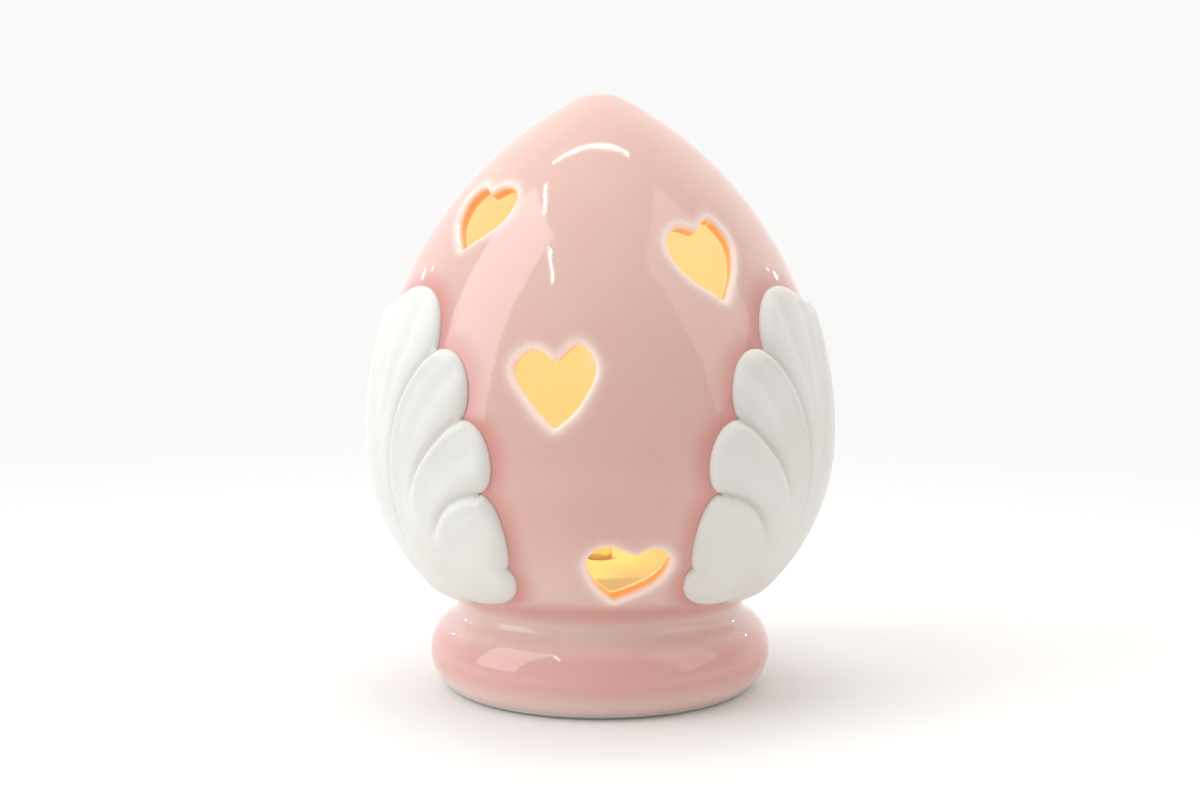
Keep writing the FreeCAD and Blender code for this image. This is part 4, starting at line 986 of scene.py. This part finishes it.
class Leaf:
    """One leaf: its outline and lines on the egg, and the height of its relief."""

    def __init__(self, section, side):
        self.section, self.side = section, side
        half = np.vstack([bezier(*lobe, LOBE_POINTS) for lobe in LOBES])
        base = np.stack([np.linspace(0.0, BASE_REACH, BASE_POINTS, endpoint=False),
                         np.full(BASE_POINTS, BASE_HEIGHT)], 1)
        front = np.vstack([base, half])
        mirrored = front[::-1] * (-1, 1)
        top = np.array([LOBES[-1][-1]])
        self.outline = np.vstack([front, top, mirrored[:-1]])

    def flat(self, marks):
        """Degrees forward and heights, as lengths on a flattened egg."""
        runs = self.section.outer_run(marks[:, 1])
        radius = self.section.at(runs, self.section.path)[:, 0]
        return np.stack([np.radians(marks[:, 0]) * radius, -runs], 1)

    def groove(self, flat, line, fade):
        """Signed distance of flat points to a line, and a share that fades towards its far end."""
        line = self.flat(smooth_line(line, LINE_POINTS))
        ahead = line[1:] - line[:-1]
        away = flat[:, None, :] - line[None, :-1, :]
        share = np.clip(np.sum(away * ahead, -1) / np.sum(ahead * ahead, -1), 0, 1)
        miss = away - share[..., None] * ahead
        gaps = np.hypot(miss[..., 0], miss[..., 1])
        best = np.argmin(gaps, axis=1)
        rows = np.arange(len(flat))
        side = np.sign(ahead[best, 0] * away[rows, best, 1] - ahead[best, 1] * away[rows, best, 0])
        along = (best + share[rows, best]) / len(ahead)
        strength = np.clip((1 - along) / fade, 0, 1)
        return gaps[rows, best] * -side, strength * strength * (3 - 2 * strength)

    def relief(self, flat, outline):
        """Height above the glaze, and painted shade for the creases, at flat points inside the outline."""
        sizes = settings().leaf
        half = flat.copy()
        half[:, 0] = np.abs(half[:, 0])
        height = np.full(len(flat), sizes.relief / MM)
        crease = np.zeros(len(flat))
        for line in CREASES:
            gap, strength = self.groove(half, line, CREASE_FADE)
            over = gap < 0
            sharp, wide = np.exp(-(gap / CREASE_WIDTH) ** 2), np.exp(-(np.abs(gap) / SHADE_WIDTH) ** 1.4)
            roll = np.exp(-((np.abs(gap) - ROLL_AWAY) / ROLL_WIDTH) ** 2) * (1 - sharp)
            dip = np.where(over, sharp, 0.45 * sharp + 0.55 * wide)
            height += strength * (sizes.roll / MM * np.where(over, roll, 0.0) - sizes.crease / MM * dip)
            # Painted shade: sharp in a crease, spread wide on the side that lies under the rolled edge
            crease = np.maximum(crease, strength * np.where(over, sharp, 0.6 * sharp + 0.4 * wide))
        for line in CHANNELS:
            gap, strength = self.groove(half, line, CHANNEL_FADE)
            height -= strength * sizes.channel / MM * np.exp(-(gap / CHANNEL_WIDTH) ** 2)
        edge = sizes.edge / MM
        gap = gap_to_outline_in_parts(flat, outline)
        rounded = np.sqrt(np.clip(1 - (1 - np.clip(gap / edge, 0, 1)) ** 2, 0, 1))
        return np.maximum(height, LEAST_RELIEF) * rounded, crease

    def sheet(self):
        """The leaf's closed skin: relief outside, a plain face sunk in the wall behind it."""
        sizes, sheet = settings().leaf, Sheet()
        outline = self.flat(self.outline)
        # The outline carries painted shade where the leaf meets the glaze
        edge = self.ground(sheet, outline, -sizes.sunk / MM, crease=0.6)
        for step, outside in ((sizes.mesh_step / MM, True), (BACK_STEP, False)):
            points = self.spread(outline, step)
            if outside:
                points = np.vstack([points, *(inset(outline, distance) for distance in EDGE_RINGS)])
                height, crease = self.relief(points, outline)
                ids = self.ground(sheet, points, height, crease=crease)
            else:
                ids = self.ground(sheet, points, -sizes.sunk / MM)
            flat = np.vstack([outline, points])
            numbers = np.r_[edge, ids]
            found = triangles(flat, [range(len(outline))], lambda middles: inside_outline(middles, outline))
            sheet.faces += [numbers[face if outside == (self.side > 0) else face[::-1]] for face in found]
        return sheet

    def turned(self, flat):
        """Turns and runs of flat points, on the leaf's side of the egg."""
        runs = -flat[:, 1]
        radius = self.section.at(runs, self.section.path)[:, 0]
        return self.side * (math.pi / 2 - flat[:, 0] / radius), runs

    def ground(self, sheet, flat, lifts, **values):
        """Add flat points to a sheet, lifted off the egg."""
        return sheet.add(*self.turned(flat), lifts, **values)

    @staticmethod
    def spread(outline, step):
        """Points in staggered rows inside an outline, clear of its edge."""
        low, high = outline.min(axis=0), outline.max(axis=0)
        rows = np.arange(low[1] + step / 2, high[1], step * 0.87)
        points = []
        for number, row in enumerate(rows):
            across = np.arange(low[0] + step * (0.5 + 0.5 * (number % 2)), high[0], step)
            points.append(np.stack([across, np.full(len(across), row)], 1))
        points = np.vstack(points)
        points = points[inside_outline(points, outline)]
        return points[gap_to_outline_in_parts(points, outline) > EDGE_RINGS[-1] + step * 0.5]


def gap_to_outline_in_parts(points, outline, part=2000):
    """Distance to a closed outline, worked out a few thousand points at a time."""
    return np.concatenate([gap_to_outline(points[start:start + part], outline)
                           for start in range(0, len(points), part)])


# ---- small parts ----

def lathe(name, outline, count=48):
    """Closed mesh turned about Z from radius and height pairs, in metres."""
    work = bmesh.new()
    spots = [work.verts.new((radius, 0.0, height)) for radius, height in outline]
    edges = [work.edges.new(pair) for pair in zip(spots, spots[1:])]
    bmesh.ops.spin(work, geom=spots + edges, cent=(0, 0, 0), axis=(0, 0, 1), angle=math.tau,
                   steps=count, use_merge=True, use_duplicate=False)
    bmesh.ops.remove_doubles(work, verts=work.verts, dist=1e-6)
    bmesh.ops.recalc_face_normals(work, faces=work.faces)
    data = mesh_from(name, work)
    data.shade_smooth()
    return add_object(name, data)


def box_mesh(name, boxes):
    """Boxes given by their lowest and highest corners, in one mesh with softened edges."""
    work = bmesh.new()
    for low, high in boxes:
        made = bmesh.ops.create_cube(work, size=1.0)["verts"]
        for vertex in made:
            vertex.co = [(a + b) / 2 + c * (b - a) for a, b, c in zip(low, high, vertex.co)]
    smallest = min(b - a for low, high in boxes for a, b in zip(low, high))
    bmesh.ops.bevel(work, geom=list(work.edges), offset=smallest * 0.22, segments=2, affect="EDGES")
    return add_object(name, mesh_from(name, work))


def give(piece, finish, body, slot, *replaced):
    """Paint a piece if it isn't yet, hang it on its body and hide the parts that it stands for."""
    if finish is not None:
        piece.data.materials.clear()
        piece.data.materials.append(finish)
    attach(piece, body)
    if replaced:
        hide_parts(*replaced)


# ---- operators ----

class LANTERN_OT_shell(bpy.types.Operator):
    """Turn the glazed shell and cut its hearts"""

    bl_idname = "lantern.shell"
    bl_label = "Glazed Shell"

    def execute(self, context):
        section = Section()
        hearts = [Heart(section, *heart) for heart in HEARTS]
        sheet = shell_sheet(section, hearts)
        turns, runs, lifts = (sheet.column(name) for name in ("turn", "run", "lift"))
        places = section.where(turns, runs, lifts)
        cuts = np.vstack([heart_edge(section, heart) for heart in hearts])
        edges = np.vstack([leaf_edge(section, side) for side in (-1, 1)])
        sheet.columns["heart_gap"] = [gaps_to(places, cuts)]
        sheet.columns["leaf_gap"] = [gaps_to(places, edges)]
        curve = section.curve()
        shell = wrap_tree().run("shell_glaze", sheet.mesh("shell_sheet"), glaze_finish(), Section=curve)
        bpy.data.objects.remove(curve)
        if not shell.data.polygons:
            raise RuntimeError("the shell came out empty")
        give(shell, None, "shell", "glazed_porcelain", "porcelain_shell", "porcelain_side_left",
             "porcelain_side_right")
        return {"FINISHED"}


def heart_edge(section, heart):
    """Dense points in space on a heart's outer edge."""
    turns, runs, _ = section.locate(heart.space(heart.outline), heart.run)
    return section.where(turns, runs, np.zeros(len(turns)))


def leaf_edge(section, side):
    """Dense points in space on a leaf's outline."""
    leaf = Leaf(section, side)
    turns, runs = leaf.turned(leaf.flat(leaf.outline))
    return section.where(turns, runs, np.zeros(len(turns)))


class LANTERN_OT_leaves(bpy.types.Operator):
    """Model the two bisque leaves on the egg's sides"""

    bl_idname = "lantern.leaves"
    bl_label = "Leaves"

    def execute(self, context):
        section = Section()
        curve = section.curve()
        tree, finish = wrap_tree(), bisque_finish()
        for side, name in ((-1, "left"), (1, "right")):
            data = Leaf(section, side).sheet().mesh(f"leaf_sheet_{name}")
            leaf = tree.run(f"leaf_relief_{name}", data, finish, Section=curve)
            give(leaf, None, "shell", "bisque_porcelain", f"leaf_{name}")
        bpy.data.objects.remove(curve)
        return {"FINISHED"}


LAMP_WATTS, LAMP_COLOUR = 0.008, (1.0, 0.43, 0.09)
# Half the distance between the diode's leads, and the radius of a screw's head
LEAD_APART, HEAD_RADIUS = 1.27 * MM, 1.8 * MM


class LANTERN_OT_lamp(bpy.types.Operator):
    """Make the diode: resin dome, lead frame and its glow"""

    bl_idname = "lantern.lamp"
    bl_label = "Lamp"

    def execute(self, context):
        low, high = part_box("led_lens")
        rim, barrel = high.x, 2.5 * MM
        dome = high.z - barrel
        outline = [(0.0, low.z), (rim - 0.1 * MM, low.z), (rim, low.z + 0.1 * MM), (rim, low.z + 0.9 * MM),
                   (rim - 0.1 * MM, low.z + 1.0 * MM), (barrel + 0.12 * MM, low.z + 1.0 * MM),
                   (barrel, low.z + 1.15 * MM)]
        outline += [(barrel * math.cos(turned), dome + barrel * math.sin(turned))
                    for turned in np.linspace(0, math.pi / 2, 14)[:-1]]
        outline.append((0.0, high.z))
        lens = lathe("diode_lens", outline)
        give(lens, lens_finish(), "light_unit", "lamp_lens", "led_lens")
        half = LEAD_APART
        base, cup = low.z + 0.3 * MM, low.z + 4.4 * MM
        boxes = [((-half - 0.5 * MM, -0.25 * MM, base), (-half + 0.9 * MM, 0.25 * MM, cup)),
                 ((-half - 0.5 * MM, -0.55 * MM, cup - 0.9 * MM), (0.35 * MM, 0.55 * MM, cup + 0.2 * MM)),
                 ((half - 0.3 * MM, -0.25 * MM, base), (half + 0.3 * MM, 0.25 * MM, cup - 0.1 * MM)),
                 ((0.62 * MM, -0.4 * MM, cup - 0.7 * MM), (half + 0.3 * MM, 0.4 * MM, cup))]
        lead_frame = box_mesh("diode_frame", boxes)
        give(lead_frame, metal_finish("frame_silver", (0.80, 0.78, 0.72), (0.56, 0.52, 0.44)),
             "light_unit", "tinned_metal")
        light = bpy.data.lights.new("lamp_glow", "POINT")
        light.energy, light.color, light.shadow_soft_size = LAMP_WATTS, LAMP_COLOUR, 4 * MM
        glow = add_object("lamp_glow", light)
        glow.location = (0.0, 0.0, high.z + 6 * MM)
        glow.parent = frame["bodies"]["light_unit"]
        return {"FINISHED"}


def screw_mesh():
    """Pan-head tapping screw in metres, head down at the origin, with a cross recess and a cut thread."""
    head, rise, shank, reach = HEAD_RADIUS, 1.0 * MM, 0.9 * MM, 7.9 * MM
    outline = [(0.0, 0.0)]
    outline += [(head * math.sin(turned), rise * 0.62 * (1 - math.cos(turned)))
                for turned in np.linspace(0.15, math.pi / 2, 9)]
    outline += [(head, rise * 0.94), (head - 0.06 * MM, rise), (shank, rise)]
    height, root, pitch = rise + 0.25 * MM, shank * 0.76, 0.62 * MM
    while height < reach - 1.0 * MM:
        outline += [(shank, height + 0.28 * MM), (root, height + 0.38 * MM)]
        height += pitch
        outline.append((root, height))
    outline += [(shank * 0.7, reach - 0.7 * MM), (shank * 0.2, reach), (0.0, reach)]
    solid = lathe("screw_pattern", outline, 32)
    arm, slot, deep = 1.25 * MM, 0.27 * MM, 0.75 * MM
    cross = box_mesh("recess_pattern", [((-arm, -slot, -deep), (arm, slot, deep)),
                                        ((-slot, -arm, -deep), (slot, arm, deep))])
    cutter = solid.modifiers.new("recess", "BOOLEAN")
    cutter.object, cutter.operation, cutter.solver, cutter.use_self = cross, "DIFFERENCE", "EXACT", True
    result = baked(solid, "screw_pattern_cut")
    for spare in (solid, cross):
        bpy.data.objects.remove(spare)
    return result


def place_tree():
    """Tree that puts one pattern on every point of a mesh, turned about Z by a fixed random amount."""
    tree = Tree("pattern_on_points")
    pattern = tree.input("Pattern", "Object")
    spread = tree.input("Turn spread", "Float")
    seed = tree.input("Seed", "Int")
    shape = tree.node("GeometryNodeObjectInfo", {}, {"Object": pattern})["Geometry"]
    angle = tree.node("FunctionNodeRandomValue", {"data_type": "FLOAT"}, {"Max": spread, "Seed": seed})
    about = tree.node("ShaderNodeCombineXYZ", {}, {"Z": angle[1]})[0]
    placed = tree.node("GeometryNodeInstanceOnPoints", {},
                       {"Points": tree.start.outputs[0], "Instance": shape, "Rotation": about})[0]
    tree.close(placed)
    return tree


def points_mesh(name, places):
    data = bpy.data.meshes.new(name)
    data.from_pydata([tuple(place) for place in places], [], [])
    return data


class LANTERN_OT_fixings(bpy.types.Operator):
    """Set the screws, solder joints and the switch knob's ridges"""

    bl_idname = "lantern.fixings"
    bl_label = "Fixings"

    def execute(self, context):
        tree = place_tree()
        steel = metal_finish("screw_steel", (0.66, 0.66, 0.66), (0.36, 0.35, 0.34), (1, 1, 0.15), 0.26)
        pattern = screw_mesh()
        low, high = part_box("base_screws")
        circle = high.y - HEAD_RADIUS
        corners = [math.radians(90 + 120 * number) for number in range(3)]
        spots = [(circle * math.cos(a), circle * math.sin(a), low.z) for a in corners]
        door_low, door_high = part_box("door_screw")
        door_spot = ((door_low.x + door_high.x) / 2, (door_low.y + door_high.y) / 2, door_low.z)
        for name, body, places, node in (("screws_of_base", "light_unit", spots, "base_screws"),
                                         ("screw_of_door", "door_screw", [door_spot], "door_screw")):
            screws = tree.run(name, points_mesh(f"{name}_places", places), steel, Pattern=pattern,
                              **{"Turn spread": 0.0 if node == "door_screw" else math.tau, "Seed": 7})
            give(screws, None, body, "screw_steel", node)
        bpy.data.objects.remove(pattern)
        self.solder(tree)
        self.ridges(tree)
        return {"FINISHED"}

    @staticmethod
    def solder(tree):
        board_low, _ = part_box("circuit_board")
        lead_low, lead_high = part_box("led_leads")
        body_low, body_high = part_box("resistor")
        joint = lathe("solder_pattern", [(0.0, -0.62 * MM), (0.24 * MM, -0.6 * MM), (0.34 * MM, -0.36 * MM),
                                         (0.52 * MM, -0.16 * MM), (0.8 * MM, 0.0), (0.0, 0.0)], 20)
        side = (lead_high.x + lead_low.x) / 2 + LEAD_APART
        places = [(side, 0.0, board_low.z), (-side, 0.0, board_low.z)]
        row = (body_low.y + body_high.y) / 2
        places += [(x, row, board_low.z) for x in (body_low.x + 0.25 * MM, body_high.x - 0.25 * MM)]
        tin = metal_finish("solder_tin", (0.80, 0.80, 0.79), (0.55, 0.55, 0.54), roughness=0.18)
        made = tree.run("solder_joints", points_mesh("solder_places", places), tin, Pattern=joint,
                        **{"Turn spread": math.tau, "Seed": 3})
        give(made, None, "light_unit", "tinned_metal")
        bpy.data.objects.remove(joint)

    @staticmethod
    def ridges(tree):
        low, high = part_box("switch_knob")
        middle, width = (low.y + high.y) / 2, (high.y - low.y) * 0.42
        ridge = box_mesh("ridge_pattern",
                         [((-0.11 * MM, -width, -0.16 * MM), (0.11 * MM, width, 0.12 * MM))])
        step = (high.x - low.x) / 5
        places = [(low.x + step * number, middle, low.z) for number in range(1, 5)]
        black = plastic_finish("ridge_black", (0.024, 0.024, 0.026), (0.07, 0.07, 0.07), 0.42, 1900.0)
        made = tree.run("knob_ridges", points_mesh("ridge_places", places), black, Pattern=ridge,
                        **{"Turn spread": 0.0, "Seed": 0})
        give(made, None, "switch_knob", "black_plastic")
        bpy.data.objects.remove(ridge)


class LANTERN_OT_finishes(bpy.types.Operator):
    """Give every carried-over part of the light unit its finish"""

    bl_idname = "lantern.finishes"
    bl_label = "Light Unit Finishes"

    def execute(self, context):
        made = {node: build() for node, build in FINISHES.items()}
        made.update({node: plastic_finish(*look) for node, look in PLASTICS.items()})
        made.update({node: metal_finish(*look) for node, look in METALS.items()})
        for node in [*made, *SHARED]:
            piece = frame["nodes"][node]
            piece.data.materials.clear()
            piece.data.materials.append(made[SHARED.get(node, node)])
        return {"FINISHED"}


# ---- stage ----

COOL, PLAIN, CREAM = (0.94, 1.0, 1.05), (1.0, 1.0, 1.0), (1.0, 0.95, 0.82)
# Soft lights: corners round the object in metres, radiance, colour and whether gloss shows them
PANELS = (
    ("panel_left", ((-1.0, -0.05, 0.10), (-1.0, -0.63, 0.10), (-1.0, -1.0, 2.40), (-1.0, 0.20, 1.90)),
     3.2, COOL, True),
    ("panel_right", ((1.0, 0.04, 0.48), (1.0, -0.61, 0.11), (1.0, -1.45, 2.30), (1.0, 0.10, 2.30)),
     1.6, PLAIN, True),
    ("panel_top", ((-0.7, -0.6, 1.3), (0.7, -0.6, 1.3), (0.7, 0.8, 1.3), (-0.7, 0.8, 1.3)),
     1.28, PLAIN, False),
    ("strip_across", ((-0.38, 0.155, 1.06), (0.23, 0.135, 1.06), (0.23, 0.17, 1.06), (-0.38, 0.19, 1.06)),
     18.0, CREAM, True),
    ("strip_near", ((-0.45, 0.04, 1.06), (-0.49, -0.22, 1.06), (-0.465, -0.22, 1.06), (-0.425, 0.04, 1.06)),
     24.0, CREAM, True),
    ("strip_far", ((-0.5, -0.5, 1.06), (-0.555, -0.85, 1.06), (-0.525, -0.85, 1.06), (-0.475, -0.5, 1.06)),
     26.0, CREAM, True),
    ("spot_left", ((-0.79, 0.75, 0.39), (-0.77, 0.77, 0.39), (-0.77, 0.77, 0.405), (-0.79, 0.75, 0.405)),
     60.0, PLAIN, True),
    ("spot_left_low", ((-0.83, 0.63, 0.46), (-0.82, 0.64, 0.46), (-0.82, 0.64, 0.47), (-0.83, 0.63, 0.47)),
     60.0, PLAIN, True),
    ("spot_right", ((0.79, 0.71, 0.39), (0.77, 0.73, 0.39), (0.77, 0.73, 0.405), (0.79, 0.71, 0.405)),
     60.0, PLAIN, True),
    ("spot_right_low", ((0.83, 0.61, 0.46), (0.82, 0.62, 0.46), (0.82, 0.62, 0.47), (0.83, 0.61, 0.47)),
     60.0, PLAIN, True),
)
BACKDROP, BACKDROP_STRENGTH = (1.0, 0.992, 0.988, 1.0), 0.955
# The room's light by how far a ray heads away from the camera: none of it to all of it, and its strength
ROOM = (("From Min", 0.12), ("From Max", 0.62), ("To Min", 0.50), ("To Max", 1.15))
FLOOR_RADIUS, FLOOR_LIGHT, FLOOR_DARK = 3.0, (0.85, 0.84, 0.83), (0.82, 0.81, 0.80)
# One over the distance from the lantern, where the floor starts to fade and where it has gone
FADE_NEAR, FADE_FAR = 6.2, 1.6
LENS, SENSOR = 54.0, 36.0
CAMERA_PLACE, CAMERA_DIP = (0.0, -0.3655, 0.0942), 5.635


class LANTERN_OT_stage(bpy.types.Operator):
    """Lay the pale floor, hang the soft lights and set the camera"""

    bl_idname = "lantern.stage"
    bl_label = "Stage"

    def execute(self, context):
        scene = context.scene
        scene.view_settings.view_transform = "Standard"
        self.floor()
        self.sky(scene)
        for panel in PANELS:
            self.panel(*panel)
        self.camera(scene)
        return {"FINISHED"}

    @staticmethod
    def floor():
        work = bmesh.new()
        bmesh.ops.create_circle(work, cap_ends=True, segments=96, radius=FLOOR_RADIUS)
        floor = add_object("floor", mesh_from("floor", work))
        made = Finish("floor_paper", specular_ior_level=0.1)
        across, along = made.axis(0), made.axis(1)
        distance = (across * across + along * along) ** 0.5
        grain = made.noise(300.0, 3.0)
        tone = made.blend(grain * 0.1, FLOOR_LIGHT, FLOOR_DARK)
        made.set(base_color=tone, roughness=0.85)
        clear = made.node("ShaderNodeBsdfTransparent", {}, {})
        under = made.node("ShaderNodeNewGeometry", {}, {}, "Backfacing")
        fade = made.between(1 / distance, FADE_NEAR, FADE_FAR).most(under)
        painted = Signal(made, made.shader.outputs[0])
        mixed = made.node("ShaderNodeMixShader", {}, {0: fade, 1: painted, 2: clear})
        output = made.tree.nodes["Material Output"]
        made.tree.links.new(mixed.socket, output.inputs["Surface"])
        floor.data.materials.append(made.material)

    @staticmethod
    def sky(scene):
        """Even white backdrop; the room's soft light is dimmer from the front than from behind."""
        world = bpy.data.worlds.new("studio")
        world.use_nodes = True
        nodes, links = world.node_tree.nodes, world.node_tree.links
        backdrop = nodes["Background"]
        backdrop.inputs["Color"].default_value = BACKDROP
        heading = nodes.new("ShaderNodeSeparateXYZ")
        links.new(nodes.new("ShaderNodeTexCoord").outputs["Generated"], heading.inputs[0])
        room = nodes.new("ShaderNodeMapRange")
        room.interpolation_type = "SMOOTHSTEP"
        for socket, amount in ROOM:
            room.inputs[socket].default_value = amount
        links.new(heading.outputs["Y"], room.inputs["Value"])
        seen = nodes.new("ShaderNodeMapRange")
        links.new(nodes.new("ShaderNodeLightPath").outputs["Is Camera Ray"], seen.inputs["Value"])
        links.new(room.outputs[0], seen.inputs["To Min"])
        seen.inputs["To Max"].default_value = BACKDROP_STRENGTH
        links.new(seen.outputs[0], backdrop.inputs["Strength"])
        scene.world = world

    @staticmethod
    def panel(name, corners, radiance, shade, glossy):
        """Flat soft light with its own corners, unseen by the camera."""
        data = bpy.data.meshes.new(name)
        data.from_pydata(corners, [], [range(len(corners))])
        panel = add_object(name, data)
        made = Finish(name, base_color=DARK, emission_color=shade, emission_strength=radiance)
        panel.data.materials.append(made.material)
        panel.visible_camera, panel.visible_glossy = False, glossy

    @staticmethod
    def camera(scene):
        data = bpy.data.cameras.new("camera")
        data.lens, data.sensor_width = LENS, SENSOR
        data.clip_start, data.clip_end = 0.01, 20.0
        camera = add_object("camera", data)
        camera.location = CAMERA_PLACE
        camera.rotation_euler = (math.radians(90 - CAMERA_DIP), 0.0, 0.0)
        scene.camera = camera


STEPS = (LANTERN_OT_shell, LANTERN_OT_leaves, LANTERN_OT_lamp, LANTERN_OT_fixings, LANTERN_OT_finishes,
         LANTERN_OT_stage)


class LANTERN_PT_panel(bpy.types.Panel):
    """Steps that build the lantern"""

    bl_idname = "LANTERN_PT_panel"
    bl_label = "Porcelain Lantern"
    bl_space_type = "VIEW_3D"
    bl_region_type = "UI"
    bl_category = "Lantern"

    def draw(self, context):
        for step in STEPS:
            self.layout.operator(step.bl_idname)
        for name in ("shell", "leaf", "finish"):
            group = getattr(context.scene.lantern, name)
            box = self.layout.box()
            for key in group.bl_rna.properties.keys():
                if key not in ("rna_type", "name"):
                    box.prop(group, key)


CLASSES = (ShellSizes, LeafSizes, Finishes, LanternSettings, *STEPS, LANTERN_PT_panel)


def register():
    for item in CLASSES:
        bpy.utils.register_class(item)
    bpy.types.Scene.lantern = PointerProperty(type=LanternSettings)


def unregister():
    del bpy.types.Scene.lantern
    for item in reversed(CLASSES):
        bpy.utils.unregister_class(item)


def main():
    register()
    for step in STEPS:
        group, name = step.bl_idname.split(".")
        getattr(getattr(bpy.ops, group), name)()


if __name__ == "__main__":
    main()
